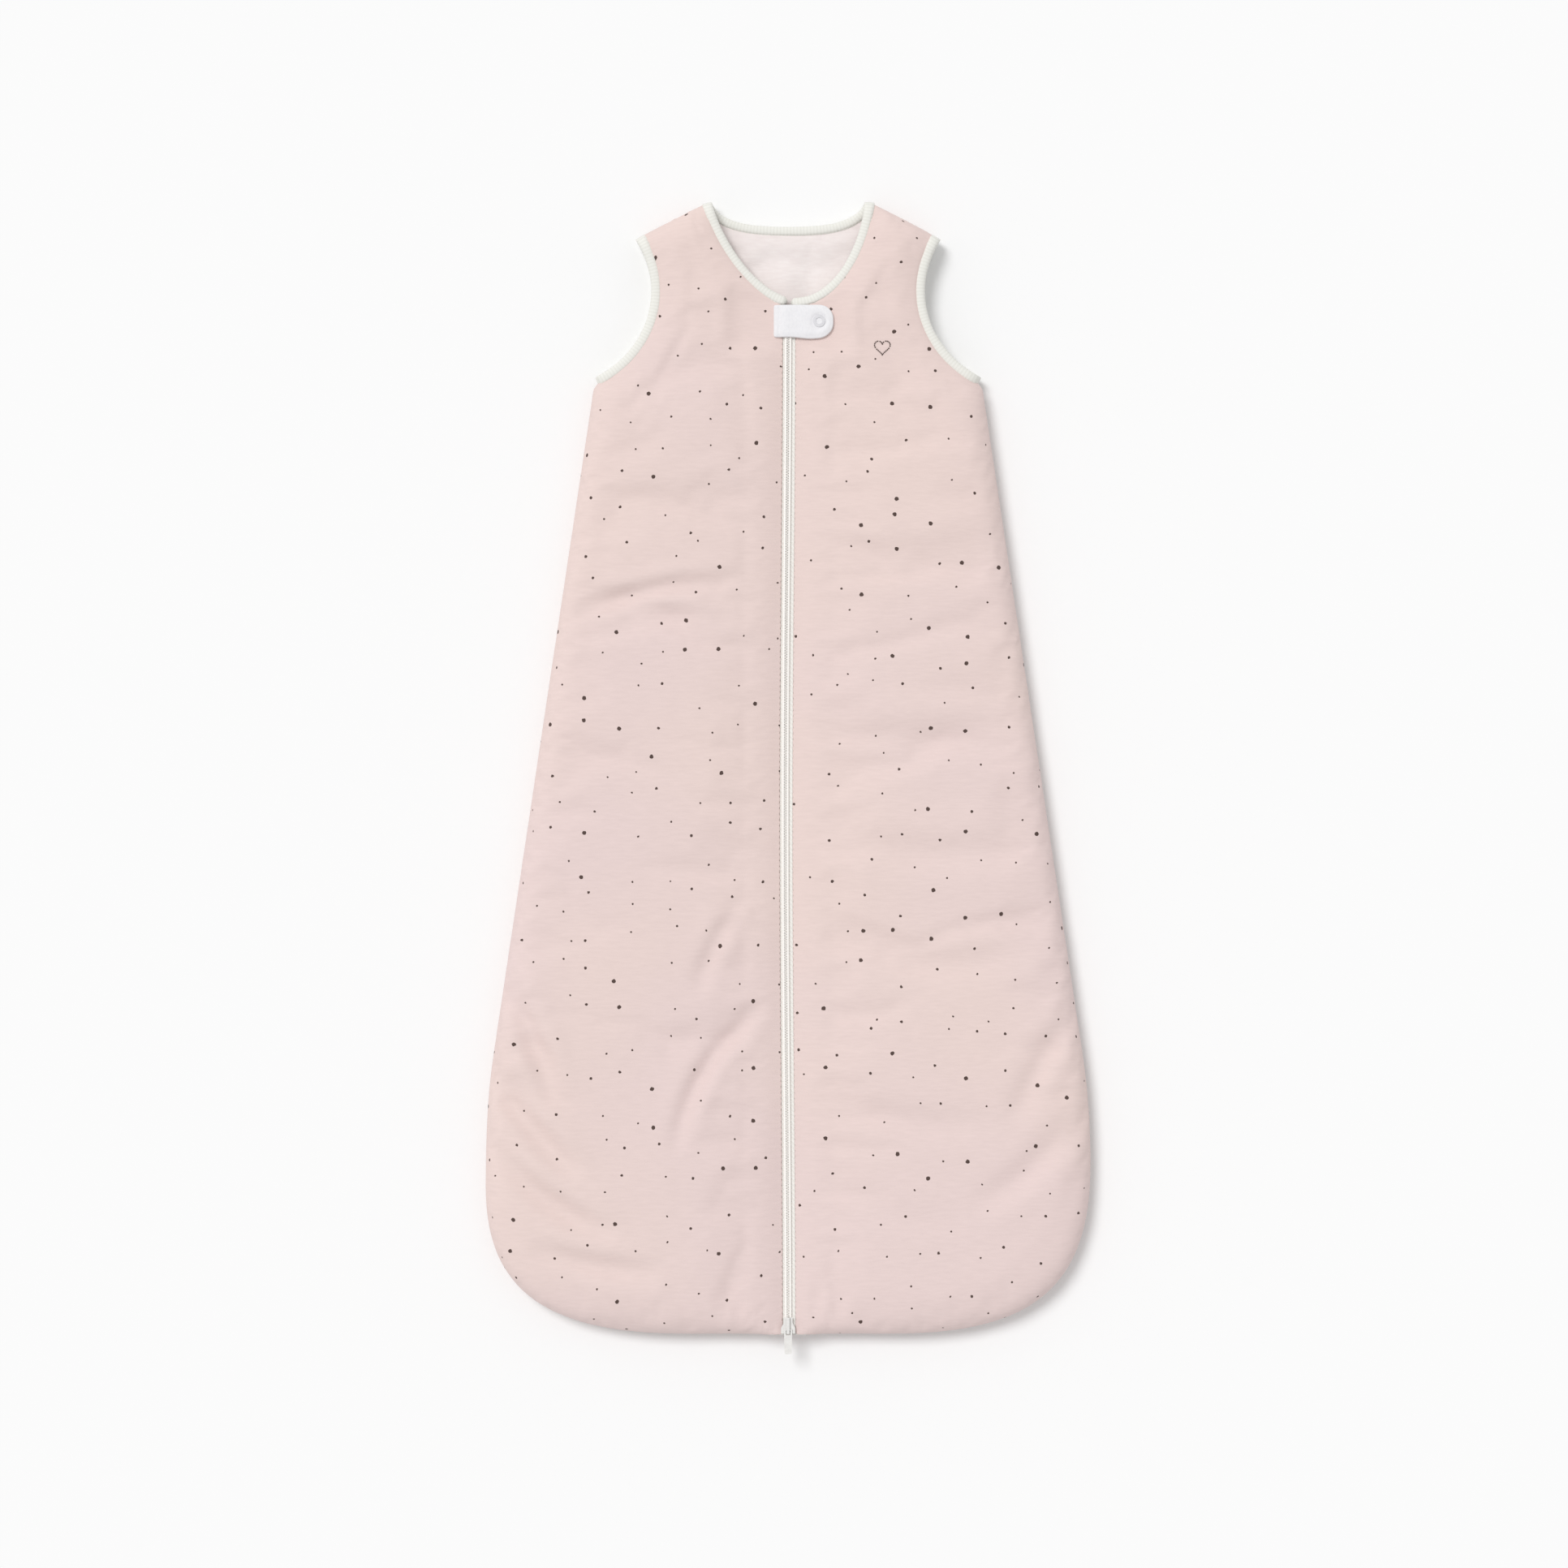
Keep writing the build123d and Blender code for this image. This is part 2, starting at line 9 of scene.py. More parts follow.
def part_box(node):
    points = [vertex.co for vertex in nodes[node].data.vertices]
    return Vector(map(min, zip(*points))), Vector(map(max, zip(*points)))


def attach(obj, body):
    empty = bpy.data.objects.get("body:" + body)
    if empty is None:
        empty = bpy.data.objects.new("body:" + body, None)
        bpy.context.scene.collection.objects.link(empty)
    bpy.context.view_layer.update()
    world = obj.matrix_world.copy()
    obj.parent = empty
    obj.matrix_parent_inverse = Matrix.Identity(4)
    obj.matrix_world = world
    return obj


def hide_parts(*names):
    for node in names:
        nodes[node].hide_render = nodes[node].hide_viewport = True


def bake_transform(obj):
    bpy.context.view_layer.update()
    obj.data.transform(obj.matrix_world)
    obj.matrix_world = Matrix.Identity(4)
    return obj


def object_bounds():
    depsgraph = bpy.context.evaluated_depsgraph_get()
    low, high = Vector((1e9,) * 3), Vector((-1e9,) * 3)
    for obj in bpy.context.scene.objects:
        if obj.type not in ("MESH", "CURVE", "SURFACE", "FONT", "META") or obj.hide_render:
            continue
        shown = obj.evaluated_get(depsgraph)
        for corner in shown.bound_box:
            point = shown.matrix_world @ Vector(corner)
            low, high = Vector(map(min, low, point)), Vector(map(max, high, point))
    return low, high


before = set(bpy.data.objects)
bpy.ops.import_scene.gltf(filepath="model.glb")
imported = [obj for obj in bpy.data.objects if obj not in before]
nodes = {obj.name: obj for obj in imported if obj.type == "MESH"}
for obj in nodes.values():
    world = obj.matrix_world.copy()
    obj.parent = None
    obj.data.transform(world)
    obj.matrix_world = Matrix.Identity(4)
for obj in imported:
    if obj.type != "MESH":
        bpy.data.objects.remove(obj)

cadLow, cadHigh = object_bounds()
scene = bpy.context.scene
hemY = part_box("back_shell")[0].y  # metres; heights below are millimetres above this line
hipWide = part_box("back_shell")[1].x * 1000
bodyLong = (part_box("back_neck_binding")[1].y - hemY) * 1000
print("frame loaded, body length", round(bodyLong), "mm")


studio = {
    "viewCentre": (-0.0032, -0.0054),
    "viewWidth": 1.2197,  # metres across the whole view
    "lens": 100,
    "sensor": 36,
    "keyStrength": 1.55,
    "keySpread": 23,  # degrees across, for soft shadows
    "keyFrom": (-0.34, 0.36, 0.87),  # upper left
    "skyStrength": 0.63,
    "floorSide": 40,
}

cameraData = bpy.data.cameras.new("camera")
cameraData.lens = studio["lens"]
cameraData.sensor_width = studio["sensor"]
camera = bpy.data.objects.new("camera", cameraData)
scene.collection.objects.link(camera)
cameraHigh = studio["viewWidth"] / studio["sensor"] * studio["lens"]
camera.location = (*studio["viewCentre"], cameraHigh + (cadLow.z + cadHigh.z) / 2)
scene.camera = camera
scene.view_settings.view_transform = "Standard"

keyData = bpy.data.lights.new("key", "SUN")
keyData.energy = studio["keyStrength"]
keyData.angle = math.radians(studio["keySpread"])
keyLight = bpy.data.objects.new("key", keyData)
keyLight.rotation_euler = Vector(studio["keyFrom"]).to_track_quat("Z", "Y").to_euler()
scene.collection.objects.link(keyLight)

world = bpy.data.worlds.new("studio")
scene.world = world
world.use_nodes = True
world.node_tree.nodes["Background"].inputs["Color"].default_value = (1, 1, 1, 1)
world.node_tree.nodes["Background"].inputs["Strength"].default_value = studio["skyStrength"]


def colour(hexText):  # sRGB hex to linear
    parts = [int(hexText[i:i + 2], 16) / 255 for i in (0, 2, 4)]
    return [p / 12.92 if p <= 0.04045 else ((p + 0.055) / 1.055) ** 2.4 for p in parts] + [1]


def addNode(tree, kind, settings=None, links=None, onward=None, **options):
    # links come in by input socket, onward goes out by output socket
    node = tree.nodes.new("ShaderNode" + kind)
    for name, value in options.items():
        setattr(node, name, value)
    for name, value in (settings or {}).items():
        node.inputs[name].default_value = value
    for name, output in (links or {}).items():
        tree.links.new(output, node.inputs[name])
    for name, socket in (onward or {}).items():
        tree.links.new(node.outputs[name], socket)
    return node


def startMaterial(name, settings):
    material = bpy.data.materials.new(name)
    material.use_nodes = True
    surface = material.node_tree.nodes["Principled BSDF"]
    for socket, value in settings.items():
        surface.inputs[socket].default_value = value
    return material, material.node_tree, surface


def startCloth(name, roughness, sheen, specular, ior=1.5):
    # matt cloth with a soft bloom; lay is the cloth's own flat place
    material, tree, surface = startMaterial(name, {
        "Roughness": roughness, "IOR": ior, "Sheen Weight": sheen, "Sheen Roughness": 0.5,
        "Specular IOR Level": specular})
    return material, tree, surface, addNode(tree, "Attribute", attribute_name="lay").outputs["Vector"]


def finishSurface(tree, surface, tones, share, relief, strength, depth):
    # two close tones mixed by share, and a low relief with its depth in metres
    addNode(tree, "Mix", {6: colour(tones["deep"]), 7: colour(tones["ground"])}, {0: share},
            {2: surface.inputs["Base Color"]}, data_type="RGBA")
    addNode(tree, "Bump", {"Strength": strength, "Distance": depth}, {"Height": relief},
            {0: surface.inputs["Normal"]})


# cotton jersey, printed: matt knit with a soft bloom, faint cross rows, small brown dots
jersey = {
    "ground": "E2CEC9", "warm": "E3CFC9", "cool": "E1CDCA", "dot": "54443F",
    "mottle": 240,     # mm between slightly warmer and cooler patches
    "dotSpacing": 27,  # mm
    "dotSizes": (1.6, 1.1, 0.8),  # mm, radius of the large, middle and small dots
    "rowHeight": 2.2,  # mm; a real row is 0.6 mm, drawn coarser to show
    "rowLength": 12,
}


def printedJersey():
    material, tree, surface, lay = startCloth("printed_jersey_cotton", 0.86, 0.1, 0.25)
    wide = addNode(tree, "Mapping", {"Scale": (1000 / jersey["mottle"],) * 3}, {"Vector": lay})
    patches = addNode(tree, "TexNoise", {"Scale": 1, "Detail": 1, "Roughness": 0.5},
                      {"Vector": wide.outputs[0]})
    height = addNode(tree, "SeparateXYZ", {}, {0: lay})
    upward = addNode(tree, "MapRange", {"From Min": 0, "From Max": 0.7, "To Min": -0.14, "To Max": 0.06},
                     {"Value": height.outputs["Y"]})  # the cloth is a little pinker towards the hem
    patch = addNode(tree, "Math", {}, {0: patches.outputs["Fac"], 1: upward.outputs[0]},
                    operation="ADD")
    cooler = addNode(tree, "MapRange", {"From Min": 0.34, "From Max": 0.5}, {"Value": patch.outputs[0]})
    warmer = addNode(tree, "MapRange", {"From Min": 0.5, "From Max": 0.7}, {"Value": patch.outputs[0]})
    ground = addNode(tree, "Mix", {6: colour(jersey["cool"]), 7: colour(jersey["ground"])},
                     {0: cooler.outputs[0]}, data_type="RGBA")
    ground = addNode(tree, "Mix", {7: colour(jersey["warm"])}, {0: warmer.outputs[0], 6: ground.outputs[2]},
                     data_type="RGBA")
    scale = (1000 / jersey["rowLength"], 1000 / jersey["rowHeight"], 1)
    stretched = addNode(tree, "Mapping", {"Scale": scale}, {"Vector": lay})
    rows = addNode(tree, "TexNoise", {"Scale": 1, "Detail": 2, "Roughness": 0.6},
                   {"Vector": stretched.outputs[0]})
    lighter = addNode(tree, "MapRange",
                      {"From Min": 0.3, "From Max": 0.7, "To Min": 0.978, "To Max": 1.022},
                      {"Value": rows.outputs["Fac"]})
    shaded = addNode(tree, "HueSaturation", {}, {"Color": ground.outputs[2], "Value": lighter.outputs[0]})
    # printed dots: one to a cell, three sizes, with slightly ragged edges
    wobble = addNode(tree, "TexNoise", {"Scale": 620, "Detail": 1}, {"Vector": lay})
    ragged = addNode(tree, "VectorMath", {"Scale": 0.0011}, {0: wobble.outputs["Color"]}, operation="SCALE")
    printed = addNode(tree, "VectorMath", {}, {0: lay, 1: ragged.outputs["Vector"]}, operation="ADD")
    cells = addNode(tree, "TexVoronoi", {"Scale": 1000 / jersey["dotSpacing"], "Randomness": 0.86},
                    {"Vector": printed.outputs["Vector"]}, voronoi_dimensions="2D")
    pick = addNode(tree, "SeparateColor", {}, {"Color": cells.outputs["Color"]})
    large, middle, small = (size / jersey["dotSpacing"] for size in jersey["dotSizes"])
    isMiddle = addNode(tree, "Math", {1: 0.5}, {0: pick.outputs["Red"]}, operation="LESS_THAN")
    isLarge = addNode(tree, "Math", {1: 0.22}, {0: pick.outputs["Red"]}, operation="LESS_THAN")
    size = addNode(tree, "MapRange", {"To Min": small, "To Max": middle}, {"Value": isMiddle.outputs[0]})
    size = addNode(tree, "Math", {1: large - middle}, {0: isLarge.outputs[0], 2: size.outputs[0]},
                   operation="MULTIPLY_ADD")
    inside = addNode(tree, "Math", {}, {0: size.outputs[0], 1: cells.outputs["Distance"]},
                     operation="SUBTRACT")
    mask = addNode(tree, "MapRange", {"From Min": -0.005, "From Max": 0.005}, {"Value": inside.outputs[0]})
    addNode(tree, "Mix", {7: colour(jersey["dot"])}, {0: mask.outputs[0], 6: shaded.outputs[0]},
            {2: surface.inputs["Base Color"]}, data_type="RGBA")
    addNode(tree, "Bump", {"Strength": 0.35, "Distance": 0.00035}, {"Height": rows.outputs["Fac"]},
            {0: surface.inputs["Normal"]})
    return material


# cotton jersey, plain pale lining: softer and paler than the print side
lining = {"ground": "EFE7E5", "deep": "E9DFDD", "rowHeight": 2.2, "rowLength": 9}


def plainLining():
    material, tree, surface, lay = startCloth("lining_jersey_cotton", 0.9, 0.2, 0.2)
    scale = (1000 / lining["rowLength"], 1000 / lining["rowHeight"], 1)
    stretched = addNode(tree, "Mapping", {"Scale": scale}, {"Vector": lay})
    rows = addNode(tree, "TexNoise", {"Scale": 1, "Detail": 2}, {"Vector": stretched.outputs[0]})
    patches = addNode(tree, "TexNoise", {"Scale": 22, "Detail": 2}, {"Vector": lay})
    both = addNode(tree, "Math", {}, {0: rows.outputs["Fac"], 1: patches.outputs["Fac"]},
                   operation="MULTIPLY")
    paler = addNode(tree, "MapRange", {"From Min": 0.12, "From Max": 0.4}, {"Value": both.outputs[0]})
    finishSurface(tree, surface, lining, paler.outputs[0], rows.outputs["Fac"], 0.35, 0.00035)
    return material


# cotton rib knit binding: off-white, fine ribs run across the strip
rib = {"ground": "E9E8E2", "deep": "E3E2DB", "ribWidth": 1.3}  # mm


def ribBinding():
    material, tree, surface, lay = startCloth("binding_rib_cotton", 0.85, 0.15, 0.25)
    scale = (50 * math.pi / rib["ribWidth"], 125 / rib["ribWidth"], 1)
    stretched = addNode(tree, "Mapping", {"Scale": scale}, {"Vector": lay})
    ribs = addNode(tree, "TexWave", {"Scale": 1, "Distortion": 0.8, "Detail": 1, "Detail Scale": 2},
                   {"Vector": stretched.outputs[0]}, wave_type="BANDS", bands_direction="X")
    fuzz = addNode(tree, "TexNoise", {"Scale": 500, "Detail": 2}, {"Vector": lay})
    tone = addNode(tree, "Math", {}, {0: ribs.outputs["Fac"], 1: fuzz.outputs["Fac"]},
                   operation="MULTIPLY")
    paler = addNode(tree, "MapRange", {"From Min": 0.05, "From Max": 0.4}, {"Value": tone.outputs[0]})
    finishSurface(tree, surface, rib, paler.outputs[0], tone.outputs[0], 0.2, 0.00012)
    return material


# cotton interlock for the guard tab: whiter and closer knit than the binding
tabCloth = {"ground": "EBEAEC", "deep": "E6E5E8", "stitch": 1.5}


def whiteInterlock():
    material, tree, surface, lay = startCloth("tab_interlock_cotton", 0.82, 0.12, 0.3)
    scale = (1000 / tabCloth["stitch"], 500 / tabCloth["stitch"], 1)
    stretched = addNode(tree, "Mapping", {"Scale": scale}, {"Vector": lay})
    knit = addNode(tree, "TexNoise", {"Scale": 1, "Detail": 2}, {"Vector": stretched.outputs[0]})
    paler = addNode(tree, "MapRange", {"From Min": 0.3, "From Max": 0.6}, {"Value": knit.outputs["Fac"]})
    finishSurface(tree, surface, tabCloth, paler.outputs[0], knit.outputs["Fac"], 0.25, 0.00015)
    return material


# polyester tape, woven: dull, fine slanting threads
tapeCloth = {"ground": "EFEDE8", "deep": "E7E4DE", "thread": 0.9}


def wovenTape():
    material, tree, surface, lay = startCloth("zip_tape_polyester", 0.7, 0.1, 0.5, ior=1.55)
    scale = 50 * math.pi / tapeCloth["thread"]
    scaled = addNode(tree, "Mapping", {"Scale": (scale,) * 3}, {"Vector": lay})
    weave = addNode(tree, "TexWave", {"Scale": 1, "Distortion": 1.2, "Detail": 1},
                    {"Vector": scaled.outputs[0]}, wave_type="BANDS", bands_direction="DIAGONAL")
    finishSurface(tree, surface, tapeCloth, weave.outputs["Fac"], weave.outputs["Fac"], 0.15, 0.0001)
    return material


def smoothFinish(name, ground, wear, settings, grain=180):
    # one pair of close colours, mottled finely, for the small hard pieces and threads
    material, tree, surface = startMaterial(name, settings)
    rough = settings["Roughness"]
    place = addNode(tree, "TexCoord").outputs["Object"]
    mottle = addNode(tree, "TexNoise", {"Scale": grain, "Detail": 3}, {"Vector": place})
    paler = addNode(tree, "MapRange", {"From Min": 0.35, "From Max": 0.65},
                    {"Value": mottle.outputs["Fac"]})
    addNode(tree, "MapRange",
            {"From Min": 0.3, "From Max": 0.7, "To Min": rough + 0.06, "To Max": rough - 0.04},
            {"Value": mottle.outputs["Fac"]}, {0: surface.inputs["Roughness"]})
    finishSurface(tree, surface, {"ground": ground, "deep": wear}, paler.outputs[0],
                  mottle.outputs["Fac"], 0.2, 0.00004)
    return material


finishes = {
    "printed_jersey": printedJersey(),
    "lining_jersey": plainLining(),
    "binding_rib": ribBinding(),
    "tab_cotton": whiteInterlock(),
    "zip_tape": wovenTape(),
    # polyester monofilament coil: milky with a soft gleam
    "zip_coil": smoothFinish("coil_polyester_monofilament", "FCF8F4", "F5F1EC",
                             {"Roughness": 0.38, "IOR": 1.57}, 900),
    # acetal, injection moulded: smooth white with a low gloss
    "zip_plastic": smoothFinish("acetal_moulded_white", "F1F0EC", "E8E7E2",
                                {"Roughness": 0.35, "IOR": 1.48}, 500),
    # zinc die casting, enamelled white: hard gloss with slightly soft edges
    "slider_enamel": smoothFinish("enamel_white_on_zinc", "E9E7E4", "DFDDDA",
                                  {"Roughness": 0.32, "IOR": 1.5, "Coat Weight": 0.4,
                                   "Coat Roughness": 0.15}, 400),
    # brass snap, enamelled white; both tones are drawn greyer than the white as painted shade, so the cap
    # shows against the cloth
    "snap_metal": smoothFinish("enamel_white_on_brass_painted_shade", "DDDCDF", "D3D2D6",
                               {"Roughness": 0.3, "IOR": 1.5, "Coat Weight": 0.4,
                                "Coat Roughness": 0.12}, 600),
    # polyester sewing thread, off-white and dark brown
    "pale_thread": smoothFinish("sewing_thread_white", "EFEEE8", "DCDAD2",
                                {"Roughness": 0.6, "IOR": 1.55}, 1500),
    "motif_thread": smoothFinish("embroidery_thread_brown", "62514D", "54443F",
                                 {"Roughness": 0.55, "IOR": 1.55}, 1500),
}
print("materials ready:", len(finishes))

floorMesh = bpy.data.meshes.new("floor")
half = studio["floorSide"] / 2
floorMesh.from_pydata([(-half, -half, 0), (half, -half, 0), (half, half, 0), (-half, half, 0)], [],
                      [(0, 1, 2, 3)])
floorFinish, *_ = startMaterial("floor_paper_white", {
    "Roughness": 0.95, "Specular IOR Level": 0.0, "Base Color": colour("F5F5F5")})
floorMesh.materials.append(floorFinish)
floor = bpy.data.objects.new("floor", floorMesh)
floor.location.z = -0.0002
scene.collection.objects.link(floor)


def inMetres(points):
    points = np.array(points, float) / 1000
    points[:, 1] += hemY
    return points


def makePiece(name, points, faces, finish, lay=None, inner=None, innerFaces=None):
    # points in mm from the middle of the hem; lay is the cloth's own flat place, also in mm
    mesh = bpy.data.meshes.new(name)
    mesh.from_pydata(inMetres(points).tolist(), [], [tuple(map(int, f)) for f in faces])
    mesh.materials.append(finishes[finish])
    if inner:
        mesh.materials.append(finishes[inner])
        mesh.polygons.foreach_set("material_index", np.asarray(innerFaces, np.int32))
    mesh.polygons.foreach_set("use_smooth", [True] * len(mesh.polygons))
    mesh.update()
    piece = bpy.data.objects.new(name, mesh)
    scene.collection.objects.link(piece)
    if lay is not None:
        setLay(piece, lay)
    return piece


def setLay(piece, lay):
    field = piece.data.attributes.get("lay") or piece.data.attributes.new("lay", "FLOAT_VECTOR", "POINT")
    field.data.foreach_set("vector", (np.asarray(lay, float) / 1000).astype(np.float32).ravel())


def readPoints(mesh):  # back to mm from the middle of the hem
    points = np.zeros(len(mesh.vertices) * 3)
    mesh.vertices.foreach_get("co", points)
    points = points.reshape(-1, 3) * 1000
    points[:, 1] -= hemY * 1000
    return points


def writePoints(mesh, points):
    mesh.vertices.foreach_set("co", inMetres(points).ravel())
    mesh.update()


def nodeBox(name):  # low and high corner of a CAD piece, in the same mm
    return [np.array(corner) * 1000 - (0, hemY * 1000, 0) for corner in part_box(name)]


def ease(value):  # 0 to 1, slow at both ends
    value = np.clip(value, 0, 1)
    return value * value * (3 - 2 * value)


def ripple(points, size, seed):  # smooth noise from -1 to 1, size in mm
    return np.array([noise.noise(Vector((p[0] / size, p[1] / size, seed))) for p in points]) * 1.6


def bezier(start, handleA, handleB, end, count=48):
    t = np.linspace(0, 1, count)[:, None]
    a, b, c, d = (np.array(p, float) for p in (start, handleA, handleB, end))
    return a * (1 - t) ** 3 + 3 * b * t * (1 - t) ** 2 + 3 * c * t ** 2 * (1 - t) + d * t ** 3


def runAlong(line):  # distance from the line's start to each of its points
    return np.concatenate([[0], np.cumsum(np.linalg.norm(np.diff(line, axis=0), axis=1))])


def evenly(line, step):
    line = np.asarray(line, float)
    along = runAlong(line)
    at = np.linspace(0, along[-1], max(2, int(round(along[-1] / step)) + 1))
    return np.column_stack([np.interp(at, along, line[:, i]) for i in range(line.shape[1])])


def leftward(line):  # the way to the left of the line's direction, at each of its points
    slope = np.gradient(line, axis=0)
    slope /= np.linalg.norm(slope, axis=1)[:, None]
    return np.column_stack([-slope[:, 1], slope[:, 0]])


def beside(line, distance):
    return line + distance * leftward(line)


def nearest(points, line):
    # distance, nearest place, place along the line, side (1 on its left), and the way to its right
    line = np.asarray(line, float)
    start, step = line[:-1], np.diff(line, axis=0)
    length = np.maximum(np.linalg.norm(step, axis=1), 1e-9)
    before = np.concatenate([[0], np.cumsum(length)])[:-1]
    found = []
    for block in np.array_split(points[:, :2], max(1, len(points) // 3000)):
        t = np.clip(((block[:, None] - start) * step).sum(2) / length ** 2, 0, 1)
        foot = start + t[..., None] * step
        gap = np.linalg.norm(block[:, None] - foot, axis=2)
        row, pick = np.arange(len(block)), gap.argmin(1)
        away = block - foot[row, pick]
        turn = step[pick, 0] * away[:, 1] - step[pick, 1] * away[:, 0]
        out = np.column_stack([step[pick, 1], -step[pick, 0]]) / length[pick, None]
        found.append(np.column_stack([gap[row, pick], foot[row, pick],
                                      before[pick] + t[row, pick] * length[pick], np.sign(turn), out]))
    found = np.concatenate(found)
    return found[:, 0], found[:, 1:3], found[:, 3], found[:, 4], found[:, 5:7]


outline = {
    "hemStraight": 81,
    # two handles and the hip; the left lies squarer
    "corner": {1: ((190, 0), (hipWide, 36), (hipWide, 131)),
               -1: ((188, 0), (hipWide - 0.7, 34), (hipWide, 112))},
    "hipEnd": (229.25, 216.5), "sideSlope": 0.1505,
    "underarm": (150, 743), "armholeHandles": ((118, 757), (88.2, 802)), "shoulderEnd": (118.2, 851),
    "neckPoint": (60, bodyLong),
    "frontNeck": (0, 804.5),
    # the right side of the neck lies rounder
    "frontNeckHandles": {1: ((58.5, 852), (38, 800)), -1: ((52, 848), (25, 811))},
    "backNeckHandles": ((52, 864.5), (30, 861.5)), "backNeck": (0, 861.5),
    "armBinding": 7.5, "neckBinding": 7,
    "tucked": 3,  # how far the cloth's edge goes inside the binding
    "proud": 0.5, "soft": 0.9,
}
armLine = bezier(outline["underarm"], *outline["armholeHandles"], outline["shoulderEnd"])
frontNeckLine = {side: bezier(outline["neckPoint"], *handles, outline["frontNeck"])
                 for side, handles in outline["frontNeckHandles"].items()}
backNeckLine = bezier(outline["neckPoint"], *outline["backNeckHandles"], outline["backNeck"])
armEdge = beside(armLine, outline["armBinding"] - outline["tucked"])
backNeckEdge = beside(backNeckLine, outline["neckBinding"] - outline["tucked"])
underarmCut = (outline["underarm"][0] + 0.5, outline["underarm"][1] - 3.3)


def lowerSeam(startX, side):
    handleA, handleB, hip = outline["corner"][side]
    endX, endH = outline["hipEnd"]
    third = (endH - hip[1]) / 3
    corner = bezier((outline["hemStraight"], 0), handleA, handleB, hip)
    above = bezier(hip, (hip[0], hip[1] + third), (endX + outline["sideSlope"] * third, endH - third),
                   outline["hipEnd"])
    return np.vstack([[(startX, 0)], corner, above[1:], [underarmCut, armEdge[0]]])


def mirrored(line):
    return (np.asarray(line, float) * (-1, 1))[::-1]


def onSide(line, side):  # 1 is the right half, -1 the left
    return line if side > 0 else mirrored(line)


def frontLines(zipEdge, side):
    inside = beside(frontNeckLine[side], outline["neckBinding"] - outline["tucked"])
    neck = inside[inside[:, 0] > zipEdge + 0.5]
    top = np.interp(zipEdge, inside[::-1, 0], inside[::-1, 1])
    return [("seam", lowerSeam(zipEdge, side)), ("bind", armEdge),
            ("seam", np.array([armEdge[-1], neck[0]])), ("bind", np.vstack([neck, [(zipEdge, top)]])),
            ("zip", np.array([(zipEdge, top), (zipEdge, 0)]))]


def backLines():
    seam = np.vstack([mirrored(lowerSeam(0, -1))[:-1], lowerSeam(0, 1)])
    neck = np.vstack([backNeckEdge, mirrored(backNeckEdge)[1:]])
    shoulder = np.array([armEdge[-1], neck[0]])
    return [("seam", seam), ("bind", armEdge), ("seam", shoulder), ("bind", neck),
            ("seam", mirrored(shoulder)), ("bind", mirrored(armEdge))]


def cutFlat(lines, rings, edgeStep, fieldStep):
    # a flat triangle mesh of an outline: its edge, rings beside each edge, an even field inside
    edge = np.vstack([evenly(line, edgeStep)[:-1] for kind, line in lines])
    kept = [edge]
    for kind, line in lines:
        for distance in rings[kind]:
            ring = beside(evenly(line, edgeStep), distance)
            clear = nearest(ring, line)[0] > 0.96 * distance
            for otherKind, other in lines:
                if other is not line:
                    clear &= nearest(ring, other)[0] > rings[otherKind][0] * 0.9
            kept.append(ring[clear])
    low, high = edge.min(0), edge.max(0)
    rowStep = fieldStep * math.sqrt(3) / 2
    for i, y in enumerate(np.arange(low[1], high[1], rowStep)):
        xs = np.arange(low[0] + (i % 2) * fieldStep / 2, high[0], fieldStep)
        row = np.column_stack([xs, np.full(len(xs), y)])
        clear = np.ones(len(row), bool)
        for kind, line in lines:
            clear &= nearest(row, line)[0] > rings[kind][-1] + 0.6 * fieldStep
        kept.append(row[clear])
    cell, used, points = fieldStep, {}, list(map(tuple, edge))
    for p in points:
        used.setdefault((int(p[0] // cell), int(p[1] // cell)), []).append(p)
    for p in np.vstack(kept[1:]):
        key = (int(p[0] // cell), int(p[1] // cell))
        near = [q for i in (-1, 0, 1) for j in (-1, 0, 1) for q in used.get((key[0] + i, key[1] + j), ())]
        if all((p[0] - q[0]) ** 2 + (p[1] - q[1]) ** 2 > (0.3 * edgeStep) ** 2 for q in near):
            used.setdefault(key, []).append(tuple(p))
            points.append(tuple(p))
    ring = list(range(len(edge)))
    made = delaunay_2d_cdt([Vector(p) for p in points], [], [ring], 1, 1e-5)
    flat = np.array([tuple(v) for v in made[0]])
    source = np.array([min(s) if s else -1 for s in made[3]])
    return flat, [tuple(f) for f in made[2]], (source >= 0) & (source < len(edge))


def closePad(flat, faces, onEdge, topPoints, bottomPoints):
    # top and bottom surfaces that share their edge; returns points, faces, and which faces are the bottom's
    place = np.where(onEdge, np.arange(len(flat)), -1)
    inside = np.flatnonzero(~onEdge)
    place[inside] = len(flat) + np.arange(len(inside))
    points = np.vstack([topPoints, bottomPoints[inside]])
    under = [tuple(place[i] for i in reversed(f)) for f in faces]
    return points, list(faces) + under, [0] * len(faces) + [1] * len(under)


cloth = {"frames": 20, "quality": 6, "mass": 0.15, "stretch": 18, "shear": 8, "bending": 1.2}


